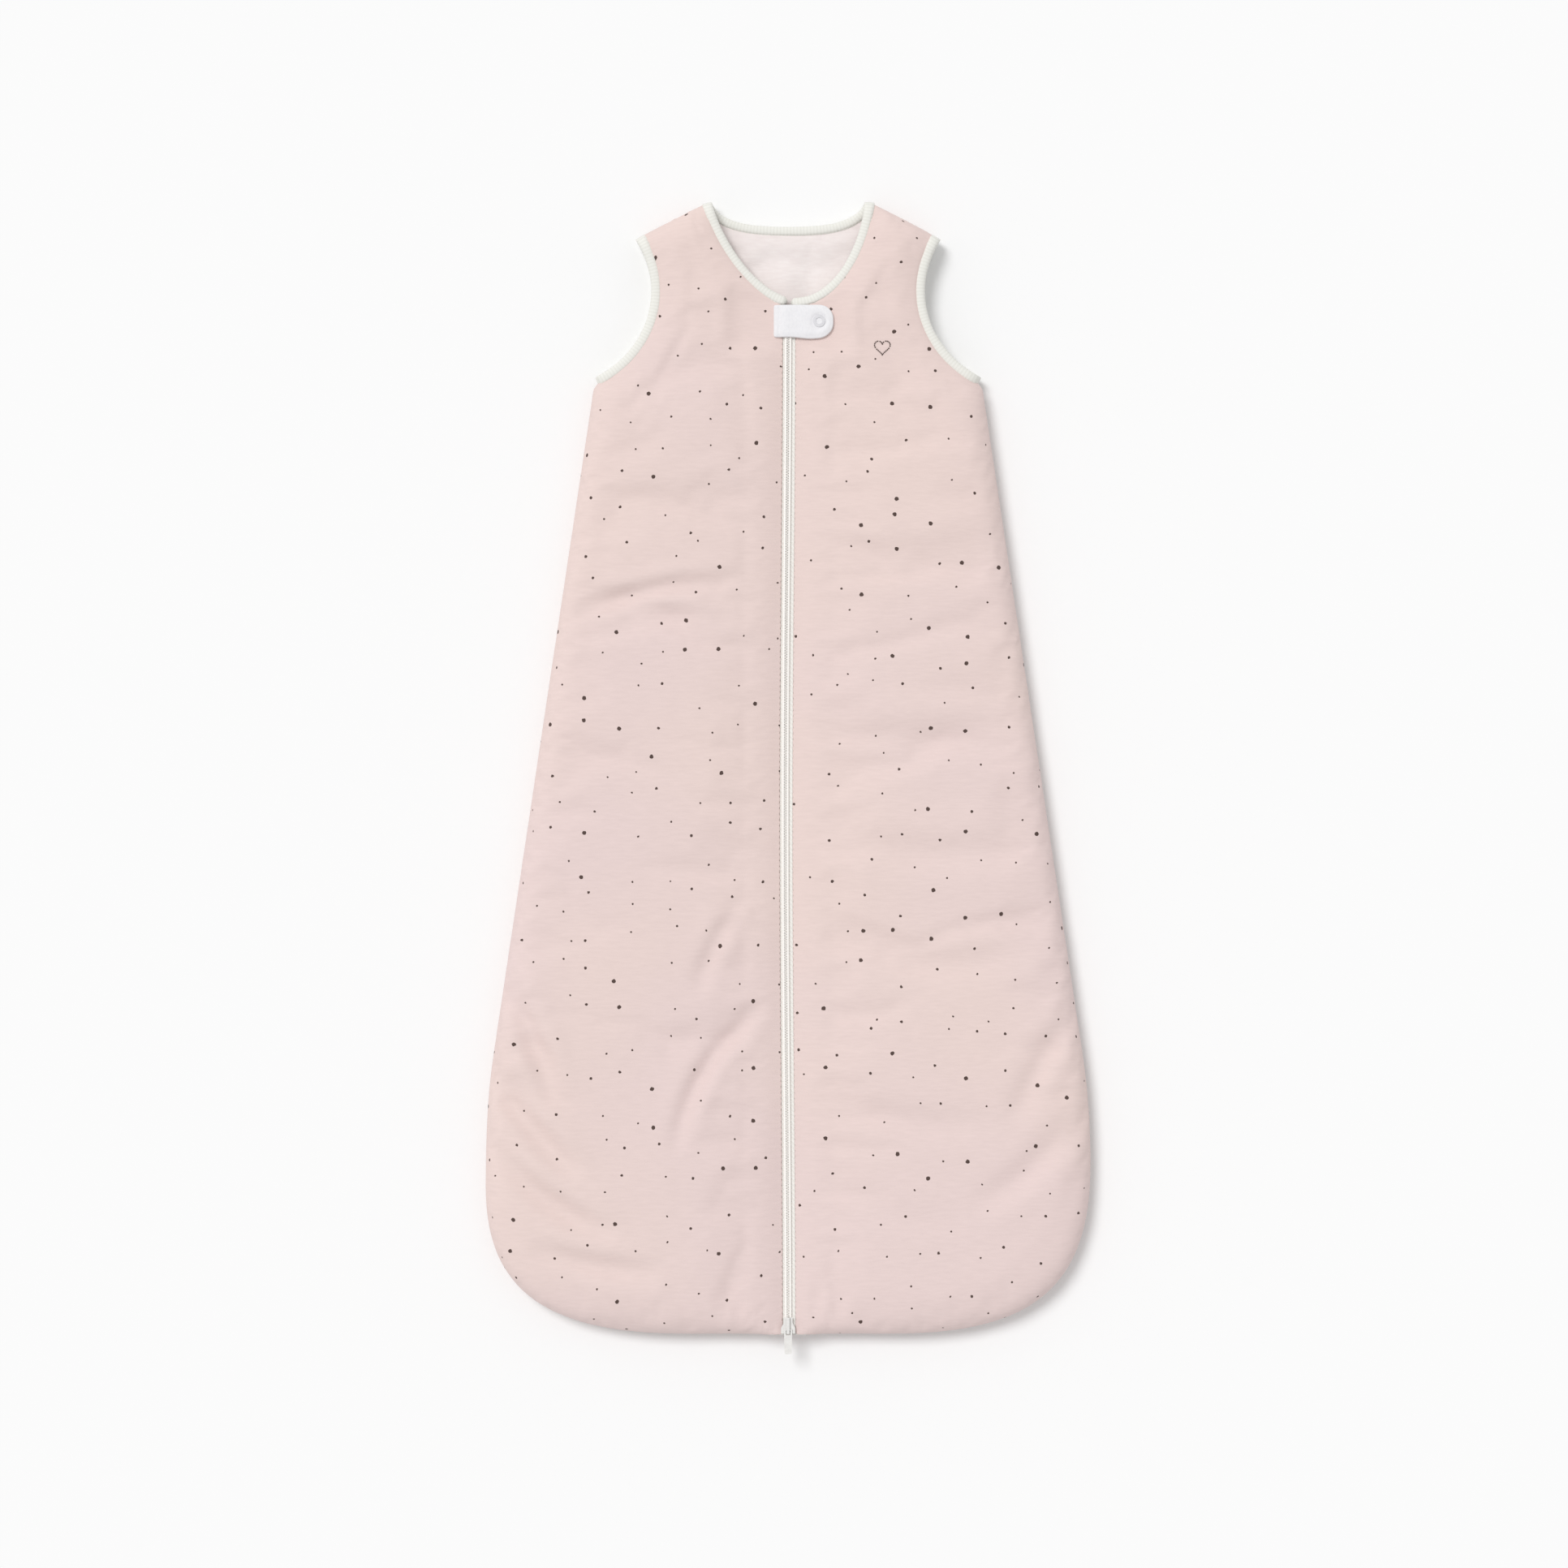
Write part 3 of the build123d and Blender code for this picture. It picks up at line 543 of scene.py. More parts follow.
def swell(piece, pinned, pressure, spare, cap):
    # cloth simulation with its result kept: pinned is how firmly each point is held
    before = readPoints(piece.data)
    group = piece.vertex_groups.new(name="held")
    weights = np.round(pinned, 2)
    for weight in np.unique(weights):
        group.add([int(i) for i in np.flatnonzero(weights == weight)], float(weight), "REPLACE")
    modifier = piece.modifiers.new("Cloth", "CLOTH")
    settings = modifier.settings
    settings.quality = cloth["quality"]
    settings.mass = cloth["mass"]
    settings.tension_stiffness = settings.compression_stiffness = cloth["stretch"]
    settings.shear_stiffness = cloth["shear"]
    settings.bending_stiffness = cloth["bending"]
    settings.use_pressure = True
    settings.uniform_pressure_force = pressure
    settings.shrink_min = settings.shrink_max = -spare
    settings.effector_weights.gravity = 0
    settings.vertex_group_mass = "held"
    settings.pin_stiffness = 1
    modifier.collision_settings.use_collision = False
    modifier.point_cache.frame_start, modifier.point_cache.frame_end = 1, cloth["frames"]
    for step in range(cloth["frames"]):
        scene.frame_set(step + 1)
    after = readPoints(piece.evaluated_get(bpy.context.evaluated_depsgraph_get()).data)
    moved = after - before
    far = np.linalg.norm(moved, axis=1)
    moved *= np.minimum(1, cap / np.maximum(far, 1e-6))[:, None]
    piece.modifiers.remove(modifier)
    piece.vertex_groups.remove(group)
    scene.frame_set(1)
    writePoints(piece.data, before + moved)
    print(piece.name, "simulated, mean move", round(float(far.mean()), 2),
          "mm, largest", round(float(far.max()), 1))


def refine(piece):
    modifier = piece.modifiers.new("Subdivision", "SUBSURF")
    modifier.levels = modifier.render_levels = 1
    made = bpy.data.meshes.new_from_object(piece.evaluated_get(bpy.context.evaluated_depsgraph_get()))
    piece.modifiers.clear()
    old, piece.data = piece.data, made
    name = old.name
    bpy.data.meshes.remove(old)
    made.name = name


frontPad = {
    "rings": {"seam": (2.6, 5.4, 8.6, 12, 16, 20.5), "bind": (1.6, 4.5, 8.5, 13),
              "zip": (1.2, 3.2, 6.5, 11, 16.5)},
    "plateau": 29.8,       # mm above the floor
    "underside": 17.4,
    "seamHeight": 12.5,
    "zipHeight": 24.15,    # cloth edge beside the teeth
    "rollWidth": 20,       # the edge rolls down over this width
    "zipSlope": 26, "bindSlope": 22,
    "tabPress": 0.17,      # how much of the loft is left under the guard tab
    "tabClear": 25.15,     # mm above the floor, the highest the cloth comes under the tab
    "pressure": 3.0, "spare": 0.012, "hold": 0.10, "cap": 5.0,
    "gather": 0.55,        # mm, small puckers along the seams
    "lowest": 11.6,
}
backPad = {
    "rings": frontPad["rings"],
    "outside": 0.35, "inside": 8.2, "seamHeight": 12.5, "rollWidth": 16,
    "pressure": 2.0, "spare": 0.012, "hold": 0.12, "cap": 3.0, "gather": 0.24,
}
tuckAngle = math.radians(20)  # the seam sits this far under the roll's widest line
tabLow, tabHigh = nodeBox("guard_tab_outer")
edgeStep, fieldStep = 4.5, 7.0


def measured(flat, lines):
    # for each kind of line: gap, foot, place along and way out, from the nearest one
    result = {}
    for number, (kind, line) in enumerate(lines):
        gap, foot, along, _, out = nearest(flat, line)
        found = [gap, foot, along + 5000 * number, out]
        best = result.get(kind, found)
        closer = gap < best[0]
        result[kind] = [np.where(closer if new.ndim == 1 else closer[:, None], new, old)
                        for new, old in zip(found, best)]
    return result


def fromTab(points):  # plan distance from the guard tab
    outside = np.maximum(np.maximum(tabLow[:2] - points[:, :2], points[:, :2] - tabHigh[:2]), 0)
    return np.hypot(outside[:, 0], outside[:, 1])


def middleRise(flat):  # 1 at the zip's foot, 0 away from it, where the hem is sewn flat
    return ease((32 - np.abs(flat[:, 0])) / 25) * ease((60 - flat[:, 1]) / 40)


def rolled(flat, gap, foot, width):
    # the edge's roll: share of the height reached, and the plan place pulled on to the ellipse
    angle = -tuckAngle + (math.pi / 2 + tuckAngle) * np.clip(gap / width, 0, 1)
    risen = (np.sin(angle) + math.sin(tuckAngle)) / (1 + math.sin(tuckAngle))
    inward = (flat - foot) / np.maximum(gap, 1e-6)[:, None]
    inset = width * (1 - np.cos(angle))
    plan = np.where((gap < width)[:, None], foot + inward * inset[:, None], flat)
    return risen, plan


def tuckedPlan(flat, gap, foot, width):
    # plan places of the hidden side, drawn in under the roll
    start = width * (1 - math.cos(tuckAngle))
    inward = (flat - foot) / np.maximum(gap, 1e-6)[:, None]
    inset = start + gap * (width - start) / width
    return np.where((gap < width)[:, None], foot + inward * inset[:, None], flat)


def settleEdge(flat, seam, middle):
    # points exactly on a seam have no inward direction of their own, so it comes from the middle
    toMiddle = middle - flat
    toMiddle /= np.linalg.norm(toMiddle, axis=1)[:, None]
    still = nearest(flat, seam)[0] < 1e-4
    moved = flat.copy()
    moved[still] += toMiddle[still] * 0.01
    return moved


def frontShape(flat, lines, seed):
    near = measured(flat, lines)
    seamGap, seamFoot = near["seam"][:2]
    bindGap, zipGap = near["bind"][0], near["zip"][0]
    p = frontPad
    tabGap = fromTab(flat)
    pressed = p["tabPress"] + (1 - p["tabPress"]) * ease(tabGap / 18)
    zipRise = 1 - (1 - np.clip((zipGap - 1) / p["zipSlope"], 0, 1)) ** 2
    bindRise = 1 - (1 - np.clip(bindGap / p["bindSlope"], 0, 1)) ** 2
    plateau = p["plateau"] + 0.7 * ripple(flat, 90, seed) + 0.35 * ripple(flat, 38, seed + 3)
    seamHeight = p["seamHeight"] + (p["zipHeight"] - p["seamHeight"]) * middleRise(flat)
    width = p["rollWidth"] - 9 * middleRise(flat)
    risen, plan = rolled(flat, seamGap, seamFoot, width)
    low = p["zipHeight"]
    upper = low + (plateau - low) * zipRise * bindRise * pressed
    top = seamHeight + (upper - seamHeight) * risen
    bindEdge = np.minimum(21, top)  # the raw edge sits in the middle of the binding
    top = np.where(bindGap < 0.4, bindEdge, top)
    under = p["underside"] + (24.05 - p["underside"]) * (1 - ease((zipGap - 11.2) / 6))
    under += 1.2 * (1 - ease(bindGap / 8))
    under = seamHeight + (under - seamHeight) * ease(seamGap / 11)
    under = np.minimum(under, top - 0.15)
    underPlan = tuckedPlan(flat, seamGap, seamFoot, width)
    firm = 1 - ease(np.min([(seamGap - 1.5) / 14, (bindGap - 4) / 18, (zipGap - 8) / 34,
                            (tabGap - 4) / 20], axis=0))
    held = p["hold"] + (1 - p["hold"]) * firm
    return np.column_stack([plan, top]), np.column_stack([underPlan, under]), held


def backShape(flat, lines, seed):
    near = measured(flat, lines)
    seamGap, seamFoot = near["seam"][:2]
    bindGap = near["bind"][0]
    p = backPad
    seamHeight = p["seamHeight"] + 7.3 * middleRise(flat)
    risen, plan = rolled(flat, seamGap, seamFoot, p["rollWidth"] * np.ones(len(flat)))
    outer = seamHeight + (p["outside"] - seamHeight) * risen
    outer = np.where(bindGap < 0.4, np.maximum(outer, 4), outer)
    inner = p["inside"] + 0.5 * ripple(flat, 60, seed) - 1.4 * (1 - ease(bindGap / 12))
    innerPlan = tuckedPlan(flat, seamGap, seamFoot, p["rollWidth"])
    inner = seamHeight + (inner - seamHeight) * ease(seamGap / 11)
    inner = np.maximum(inner, outer + 0.15)
    firm = np.maximum(1 - ease((seamGap - 1.5) / 14), 1 - ease((bindGap - 4) / 18))
    held = p["hold"] + (1 - p["hold"]) * firm
    return np.column_stack([innerPlan, inner]), np.column_stack([plan, outer]), held


# listed creases: four points in mm from the middle and the hem, then depth and width in mm
creaseStrength = 1.25
frontCreases = [
    ((-172, 553), (-132, 574), (-92, 585), (-40, 584), 3.4, 7),
    ((-160, 540), (-120, 556), (-80, 560), (-46, 554), 1.5, 9),
    ((-16, 258), (-56, 226), (-78, 196), (-88, 140), 3.8, 7),
    ((-36, 338), (-50, 318), (-62, 296), (-72, 262), 2.4, 7),
    ((-228, 282), (-204, 250), (-190, 216), (-180, 178), 4.4, 9),
    ((-232, 214), (-214, 182), (-196, 150), (-160, 122), 5.2, 10),
    ((-228, 150), (-206, 116), (-176, 92), (-132, 76), 4.6, 10),
    ((-200, 70), (-172, 60), (-140, 50), (-96, 48), 3.4, 9),
    ((-52, 44), (-42, 30), (-37, 16), (-34, 4), 0.9, 4.5),
    ((-92, 34), (-82, 22), (-75, 12), (-72, 2), 0.8, 4),
    ((24, 46), (24, 32), (21, 18), (19, 6), 1.0, 5),
    ((24, 618), (76, 598), (124, 602), (172, 626), 1.7, 12),
    ((22, 478), (78, 454), (132, 460), (192, 486), 2.6, 13),
    ((26, 398), (80, 366), (140, 366), (204, 392), 2.2, 13),
    ((230, 262), (208, 232), (188, 200), (172, 162), 3.0, 10),
    ((228, 178), (204, 142), (178, 116), (138, 98), 3.0, 11),
    ((28, 312), (84, 284), (132, 280), (188, 300), 2.4, 12),
    ((22, 196), (70, 166), (110, 158), (160, 166), 2.2, 12),
    ((22, 122), (60, 96), (96, 86), (140, 88), 1.0, 11),
]


def pressCreases(points, creases, amount):
    change = np.zeros(len(points))
    for *handles, depth, width in creases:
        line = bezier(*handles, 24)
        reach = np.linalg.norm(np.diff(line, axis=0), axis=1).sum()
        close = np.flatnonzero(np.linalg.norm(points[:, :2] - line.mean(0), axis=1) < reach + 60)
        if not len(close):
            continue
        gap, _, along, side, _ = nearest(points[close], line)
        taper = np.sin(math.pi * np.clip(along / reach, 0, 1)) ** 0.8
        span = gap * side / width
        valley = (-np.exp(-span ** 2) + 0.36 * np.exp(-((span - 1.6) / 1.1) ** 2)
                  + 0.2 * np.exp(-((span + 1.8) / 1.2) ** 2))
        change[close] += creaseStrength * depth * taper * valley
    return change * amount


def seamPuckers(near, seed, amount):
    gap, _, along, _ = near["seam"]
    wave = ripple(np.column_stack([along, gap * 0.3]), 7.0, seed)
    return amount * wave * ease((15 - gap) / 13) * ease(gap / 2.5)


zipWander = {"aside": -2.2, "top": 790}  # mm


def zipDrift(height):  # the sewn zip wanders a little between its ends
    return zipWander["aside"] * np.sin(math.pi * np.clip(height / zipWander["top"], 0, 1)) ** 2


def outward(flat, near, width, fallen):
    # the cloth's own flat place: its rolled edge is longer than it looks from above
    gap, out = near["seam"][0], near["seam"][3]
    return flat + out * (0.88 * np.maximum(fallen, 0) * (gap < width + 6))[:, None]


fold = {"lean": (0.0397, 0.9992), "aside": 0.025, "height": 0.025, "bend": 0.024}  # metres


def foldWeight(side):
    # start and end of the bend between bag and flap, on and inside the fold line
    leanX, leanY = fold["lean"]
    toZip = Vector((-leanY * side, leanX, 0)).normalized()
    start = Vector((fold["aside"] * side, hemY, fold["height"]))
    return start, start + toZip * fold["bend"]


def makePad(name, lines, pad, middle, shape, seed, side=1, printed=0):
    # one padded panel, cut flat, shaped, closed and swollen; printed is 0 for its top, 1 for its bottom
    flat, faces, onEdge = cutFlat(lines, pad["rings"], edgeStep, fieldStep)
    flat = settleEdge(flat, lines[0][1], np.array(middle))
    top, bottom, held = shape(flat, lines, seed)
    points, allFaces, isUnder = closePad(flat, faces, onEdge, top, bottom)
    if side < 0:
        points[:, 0] *= -1
        allFaces = [tuple(reversed(f)) for f in allFaces]
    piece = makePiece(name, points, allFaces, "printed_jersey", None, "lining_jersey",
                      [under ^ printed for under in isUnder])
    swell(piece, np.concatenate([held, held[~onEdge]]), pad["pressure"], pad["spare"], pad["cap"])
    refine(piece)
    return piece, readPoints(piece.data)


def makeFront(side, zipEdge, seed):
    word = "right" if side > 0 else "left"
    lines = frontLines(zipEdge, side)
    piece, points = makePad(word + "Front", lines, frontPad, (90.0, 430.0), frontShape, seed, side)
    own = points[:, :2] * (side, 1)
    near = measured(own, lines)
    onTop = ease((points[:, 2] - 21) / 4)
    points[:, 2] += pressCreases(points, frontCreases, onTop)
    points[:, 2] += seamPuckers(near, seed + 11, frontPad["gather"]) * np.where(points[:, 2] > 15, 1, 0.3)
    zipGap = near["zip"][0]
    underTab = frontPad["tabClear"] + 0.45 * fromTab(points) + 30 * (zipGap > 70)
    points[:, 2] = np.minimum(points[:, 2], underTab)
    points[:, 2] = np.maximum(points[:, 2], frontPad["lowest"])
    points[:, 0] += zipDrift(points[:, 1]) * (1 - ease(zipGap / 45))
    writePoints(piece.data, points)
    laid = outward(own, near, frontPad["rollWidth"], 27.5 - points[:, 2])
    setLay(piece, np.column_stack([laid * (side, 1), np.zeros(len(laid))]))
    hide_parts(*(f"{word}_{name}" for name in (
        "side_shell", "side_wadding", "side_lining", "flap_shell", "flap_wadding", "flap_lining",
        "hem_seam", "corner_seam", "side_seam", "shoulder_seam")))
    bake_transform(piece)
    print(piece.name, len(piece.data.polygons), "faces")
    return piece


def makeBack():
    lines = backLines()
    piece, points = makePad("backPanel", lines, backPad, (0.0, 430.0), backShape, 40, printed=1)
    near = measured(points[:, :2], lines)
    points[:, 2] += seamPuckers(near, 71, backPad["gather"])
    points[:, 2] = np.clip(points[:, 2], 0.15, np.where(near["seam"][0] > 14, 13, 40))
    writePoints(piece.data, points)
    laid = outward(points[:, :2], near, backPad["rollWidth"], points[:, 2] - 1) + (611, 340)
    setLay(piece, np.column_stack([laid, np.zeros(len(laid))]))
    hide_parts("back_shell", "back_wadding", "back_lining")
    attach(piece, "bag")
    print(piece.name, len(piece.data.polygons), "faces")
    return piece


rightFront = makeFront(1, 4.7, 7.0)
makeFront(-1, 3.2, 23.0)
makeBack()
print("panels made")


binding = {
    "step": 2.4, "around": 26,
    "frontCentre": 21.2, "backCentre": 4.4, "halfTall": 4.3,
    "seamHeight": 12.5, "endLength": 13, "endTall": 3.0,
    "stitchAngle": 38,  # degrees up from the strip's inner side
    "stitchLong": 2.3, "stitchGap": 0.9, "stitchThick": 0.2,
}


def strip(name, line, wide, centre, dips, seed, upward=1):
    # a rounded strip along a plan line; dips says which ends turn into a seam
    path = evenly(line, binding["step"])
    left, along = leftward(path), runAlong(path)
    toEnd, blunt = np.full(len(path), 1e3), np.ones(len(path))
    for dip, distance in zip(dips, (along, along[-1] - along)):
        if dip:
            toEnd = np.minimum(toEnd, distance)
        else:
            blunt = np.minimum(blunt, np.clip(distance / 1.2, 0, 1))
    flatShare = np.sqrt(np.clip(1 - (1 - np.clip(toEnd / binding["endLength"], 0, 1)) ** 2, 0, 1))
    high = binding["seamHeight"] + (centre - binding["seamHeight"]) * (0.12 + 0.88 * flatShare)
    tall = binding["endTall"] + (binding["halfTall"] - binding["endTall"]) * flatShare
    half = wide / 2 * (1 + 0.035 * ripple(np.column_stack([along, along * 0]), 16, seed))
    shrink = np.sqrt(np.clip(1 - (1 - blunt) ** 2, 0.15, 1))
    angle = np.arange(binding["around"]) * 2 * math.pi / binding["around"]
    c, s = np.cos(angle), np.sin(angle)
    power = 2 / 2.5  # between an ellipse and a box
    across = np.sign(c) * np.abs(c) ** power
    rise = np.sign(s) * np.abs(s) ** power
    groove = math.radians(binding["stitchAngle"]) * upward
    dent = 1 - 0.07 * np.exp(-((angle - groove % (2 * math.pi)) / 0.2) ** 2)
    pull = 1 + 0.02 * ripple(np.column_stack([along, along * 0]), 5.5, seed + 2)
    points = np.zeros((len(path), binding["around"], 3))
    points[..., :2] = (path[:, None]
                       + left[:, None] * (half * shrink)[:, None, None] * (across * dent)[None, :, None])
    points[..., 2] = high[:, None] + (tall * shrink * pull)[:, None] * (rise * dent)[None, :]
    faces = gridFaces(len(path), binding["around"], True)
    lay = np.zeros((len(path), binding["around"], 3))
    lay[..., 0] = along[:, None]
    lay[..., 1] = angle * wide / 2
    piece = makePiece(name, points.reshape(-1, 3), faces, "binding_rib", lay.reshape(-1, 3))
    # where the stitches go
    place = np.zeros((len(path), 3))
    up = abs(math.sin(groove)) ** power * upward
    place[:, :2] = path + left * (half * math.cos(groove) ** power)[:, None] * 0.95
    place[:, 2] = high + tall * up * 0.95
    return piece, place[3:-3]


def gridFaces(rows, columns, closed):
    faces = []
    for i in range(rows - 1):
        for j in range(columns if closed else columns - 1):
            k = (j + 1) % columns
            faces.append((i * columns + j, i * columns + k, (i + 1) * columns + k, (i + 1) * columns + j))
    if closed:
        faces.append(tuple(reversed(range(columns))))
        faces.append(tuple((rows - 1) * columns + j for j in range(columns)))
    return faces


def stitches(name, line, body, long, gap, thick, finish="pale_thread", blend=None):
    # separate small thread loops, lying on the cloth, in one mesh
    path = evenly(line, 0.5)
    count = int(len(path) * 0.5 / (long + gap))
    points, faces = [], []
    # each ring's place along the stitch, its thickness and its lift
    profile = ((-0.5, 0.25, -0.9), (-0.36, 0.9, -0.1), (0, 1, 0.25), (0.36, 0.9, -0.1), (0.5, 0.25, -0.9))
    for i in range(count):
        middle = min(len(path) - 2, int((i + 0.5) * (long + gap) / 0.5))
        centre = path[middle]
        along = path[middle + 1] - path[middle - 1]
        along /= np.linalg.norm(along)
        side = np.cross(along, (0, 0, 1))
        side /= max(1e-6, np.linalg.norm(side))
        over = np.cross(side, along)
        first = len(points)
        for offset, size, lift in profile:
            for j in range(6):
                a = j * math.pi / 3
                points.append(centre + along * offset * long
                              + over * (lift * thick + math.sin(a) * thick * size)
                              + side * math.cos(a) * thick * size)
        faces += [tuple(first + k for k in f) for f in gridFaces(len(profile), 6, True)]
    piece = makePiece(name, points, faces, finish)
    if blend:
        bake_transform(piece)
    else:
        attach(piece, body)
    return piece


armWide, neckWide = (outline[part] + outline["proud"] + outline["soft"] / 2
                     for part in ("armBinding", "neckBinding"))
armCentre = beside(armLine, armWide / 2 - outline["proud"])
backCentre = beside(backNeckLine, neckWide / 2 - outline["proud"])
backCentre = np.vstack([backCentre, mirrored(backCentre)[1:]])
stitchKit = (binding["stitchLong"], binding["stitchGap"], binding["stitchThick"])

for side, word in ((1, "right"), (-1, "left")):
    for where, centre, upward in (("Front", binding["frontCentre"], 1),
                                  ("Back", binding["backCentre"], -1)):
        piece, place = strip(f"{word}Armhole{where}", onSide(armCentre, side), armWide, centre,
                             (True, True), 5 + side + centre, upward)
        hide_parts(f"{word}_armhole_binding")
        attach(piece, "bag")
        stitches(f"{word}Armhole{where}Stitches", place, "bag", *stitchKit)
    start, end = foldWeight(side)
    neckCentre = beside(frontNeckLine[side], neckWide / 2 - outline["proud"])
    neckCentre = neckCentre[neckCentre[:, 0] > 0.4]
    piece, place = strip(f"{word}FrontNeck", onSide(neckCentre, side), neckWide, binding["frontCentre"],
                         (side > 0, side < 0), 31 + side)
    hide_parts(f"{word}_front_neck_binding")
    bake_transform(piece)
    stitches(f"{word}FrontNeckStitches", place, None, *stitchKit, blend=("bag", word + "_flap", start, end))
piece, place = strip("backNeck", backCentre, neckWide, binding["backCentre"], (True, True), 47)
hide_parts("back_neck_binding")
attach(piece, "bag")
stitches("backNeckStitches", place, "bag", *stitchKit)
print("bindings made")


zipper = {"pitch": 1.3, "wire": 0.4, "core": 0.93, "square": 0.6, "perTurn": 14, "sides": 6,
          "headPast": 0.35}


def tube(path, radius, sides, up):
    path = np.asarray(path, float)
    along = np.gradient(path, axis=0)
    along /= np.linalg.norm(along, axis=1)[:, None]
    side = np.cross(along, up)
    side /= np.linalg.norm(side, axis=1)[:, None]
    over = np.cross(side, along)
    turn = np.arange(sides) * 2 * math.pi / sides
    ring = path[:, None] + radius * (np.cos(turn)[None, :, None] * side[:, None]
                                     + np.sin(turn)[None, :, None] * over[:, None])
    return ring.reshape(-1, 3), gridFaces(len(path), sides, True)


for side, word in ((1, "right"), (-1, "left")):
    low, high = nodeBox(word + "_zip_coil")
    reach = max(abs(low[0]), abs(high[0])) - zipper["wire"]
    inner = -zipper["headPast"] + zipper["wire"]
    turns = (high[1] - low[1]) / zipper["pitch"] - 1
    angle = np.arange(int(turns * zipper["perTurn"])) * 2 * math.pi / zipper["perTurn"]
    middle, swing = (reach + inner) / 2, (reach - inner) / 2
    turnX, turnZ = (np.sign(f) * np.abs(f) ** zipper["square"] for f in (np.cos(angle), np.sin(angle)))
    wave = np.column_stack([
        side * (middle + swing * turnX),
        low[1] + zipper["wire"] + zipper["pitch"] * (angle / (2 * math.pi) + (0.5 if side < 0 else 0)),
        (low[2] + high[2]) / 2 + ((high[2] - low[2]) / 2 - zipper["wire"]) * turnZ])
    wave[:, 0] += zipDrift(wave[:, 1])
    points, faces = tube(wave, zipper["wire"], zipper["sides"], (0, 1, 0))
    piece = makePiece(word + "Coil", points, faces, "zip_coil")
    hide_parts(word + "_zip_coil")
    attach(piece, word + "_flap")
    # the cord that the coil is wound and sewn round
    hs = np.linspace(low[1] + 1, high[1] - 1, 260)
    line = np.column_stack([side * (inner + (reach - inner) * 0.7) + zipDrift(hs), hs,
                            np.full(len(hs), (low[2] + high[2]) / 2)])
    points, faces = tube(line, zipper["core"], 12, (0, 0, 1))
    piece = makePiece(word + "CoilCord", points, faces, "zip_coil")
    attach(piece, word + "_flap")

    low, high = nodeBox(word + "_zip_tape")
    xs = np.linspace(low[0], high[0], 9)
    hs = np.linspace(low[1], high[1], 200)
    profile = [(x, low[2] + 0.1) for x in xs]
    profile += [(x, high[2] - (0.1 if x in (xs[0], xs[-1]) else 0)) for x in reversed(xs)]
    points = np.array([[(x, h, z) for x, z in profile] for h in hs])
    points[..., 0] += zipDrift(points[..., 1])
    points[..., 2] += 0.06 * np.sin(points[..., 1] / 9) * np.clip((np.abs(points[..., 0]) - 5) / 5, 0, 1)
    faces = gridFaces(len(hs), len(profile), True)
    piece = makePiece(word + "Tape", points.reshape(-1, 3), faces, "zip_tape", points.reshape(-1, 3))
    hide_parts(word + "_zip_tape")
    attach(piece, word + "_flap")

for finish, names in {
        "slider_enamel": ("slider_body", "slider_pull"),
        "zip_plastic": ("zip_retainer_box", "zip_insertion_pin", "left_zip_end_stop",
                        "right_zip_end_stop"),
        "snap_metal": ("snap_cap", "snap_socket", "snap_stud", "snap_ring")}.items():
    for name in names:
        for place in nodes[name].material_slots:
            place.material = finishes[finish]
print("zip made")


tab = {
    "corner": 11, "leftCorner": 1.6, "sewnLength": 4.6, "sewnDrop": 1.75, "crown": 0.6, "dip": 1.3,
    "snapX": 24.0, "sewnDent": 1.15, "snapDent": 0.35,
    "rings": (0.45, 1.0, 1.9, 3.0), "edgeStep": 1.2, "fieldStep": 1.2,
}


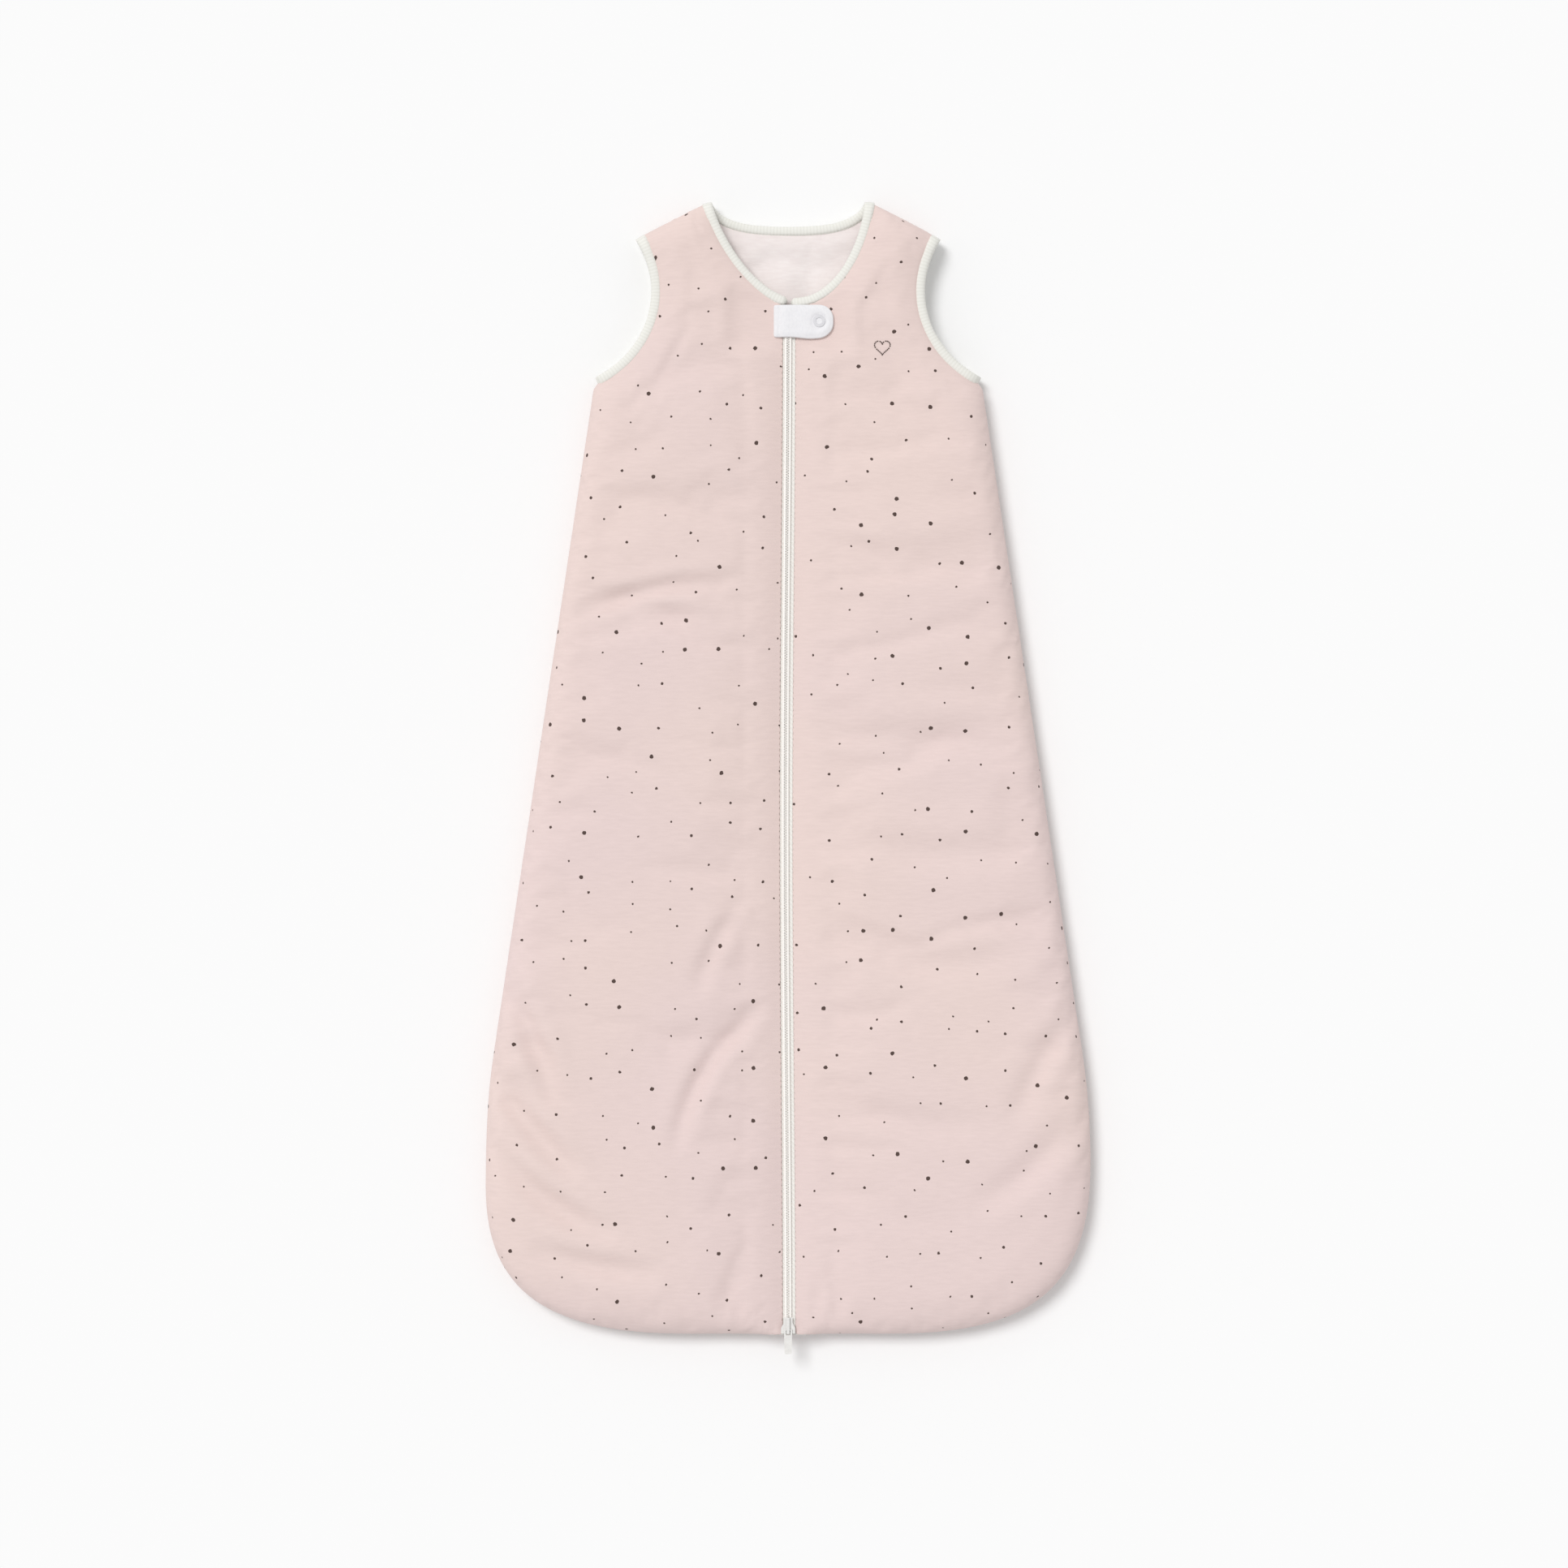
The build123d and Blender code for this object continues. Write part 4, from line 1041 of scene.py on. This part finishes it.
def makeTab():
    left, right = tabLow[0], tabHigh[0]
    low, high = tabLow[1], tabHigh[1]
    bottomZ, topZ = nodeBox("guard_tab_backing")[0][2], tabHigh[2]
    corners = [((left, low), tab["leftCorner"], 180), ((right, low), tab["corner"], 270),
               ((right, high), tab["corner"], 0), ((left, high), tab["leftCorner"], 90)]
    edge = []
    for (x, y), radius, turn in corners:
        cx = x + radius * (1 if x == left else -1)
        cy = y + radius * (1 if y == low else -1)
        for a in np.radians(np.linspace(turn, turn + 90, 9)):
            edge.append((cx + radius * math.cos(a), cy + radius * math.sin(a)))
    edge.append(edge[0])
    lines = [("rim", np.array(edge))]
    flat, faces, onEdge = cutFlat(lines, {"rim": tab["rings"]}, tab["edgeStep"], tab["fieldStep"])
    rim = nearest(flat, lines[0][1])[0]
    fromSnap = np.hypot(flat[:, 0] - tab["snapX"], flat[:, 1] - (low + high) / 2)
    middle = (bottomZ + topZ) / 2
    edgeRound = np.sqrt(np.clip(1 - (1 - np.clip(rim / 0.9, 0, 1)) ** 2, 0, 1))
    crown = tab["crown"] * ease((rim - 0.5) / 4) * ease((fromSnap - 4.8) / 3)
    stitched = tab["sewnDent"] * np.exp(-((flat[:, 0] - left - tab["sewnLength"]) / 0.65) ** 2)
    stitched += tab["snapDent"] * np.exp(-((fromSnap - 5.3) / 0.7) ** 2)
    top = middle + (topZ - middle) * edgeRound + crown * (1 + 0.5 * ripple(flat, 9, 3)) - stitched
    bottom = middle - (middle - bottomZ) * edgeRound
    drop = tab["sewnDrop"] * (1 - ease((flat[:, 0] - left) / 9.5))
    plan = flat.copy()
    sag = np.sin(math.pi * np.clip((flat[:, 0] - left - 12) / 34, 0, 1)) ** 2
    sag *= ease((high - flat[:, 1]) / 20)
    plan[:, 1] -= tab["dip"] * sag
    points, allFaces, _ = closePad(flat, faces, onEdge, np.column_stack([plan, top - drop]),
                                   np.column_stack([plan, bottom - drop]))
    piece = makePiece("guardTab", points, allFaces, "tab_cotton")
    refine(piece)
    setLay(piece, readPoints(piece.data))
    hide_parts("guard_tab_outer", "guard_tab_backing")
    bend = ("left_flap", "guard_tab", (left / 1000 + 0.002, 0, 0.0272), (left / 1000 + 0.008, 0, 0.0272))
    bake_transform(piece)
    x = left + tab["sewnLength"]
    line = np.array([(x, low + 1.2, topZ - 1.38), (x, high - 1.2, topZ - 1.38)])
    stitches("guardTabStitches", line, None, 2.0, 0.8, 0.17, blend=bend)
    return piece


makeTab()


motif = {"thread": 0.48, "count": 90}


def makeMotif():
    low, high = nodeBox("chest_motif")
    middle, size = (low + high) / 2, high - low
    t = np.linspace(0, 2 * math.pi, motif["count"])
    x = 16 * np.sin(t) ** 3
    y = 13 * np.cos(t) - 5 * np.cos(2 * t) - 2 * np.cos(3 * t) - np.cos(4 * t)
    x = x / (x.max() - x.min()) * (size[0] - motif["thread"])
    y = (y - (y.max() + y.min()) / 2) / (y.max() - y.min()) * (size[1] - motif["thread"])
    surface = BVHTree.FromObject(rightFront, bpy.context.evaluated_depsgraph_get())
    path = []
    for dx, dy in zip(x, y):
        place = Vector(((middle[0] + dx) / 1000, (middle[1] + dy) / 1000 + hemY, 0.2))
        hit = surface.ray_cast(place, Vector((0, 0, -1)))[0]
        path.append((middle[0] + dx, middle[1] + dy, hit.z * 1000 + 0.12))
    line = np.array(path)
    piece = stitches("chestHeart", line, "bag", 1.5, 0.1, motif["thread"], "motif_thread")
    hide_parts("chest_motif")


makeMotif()
print("tab and motif made")
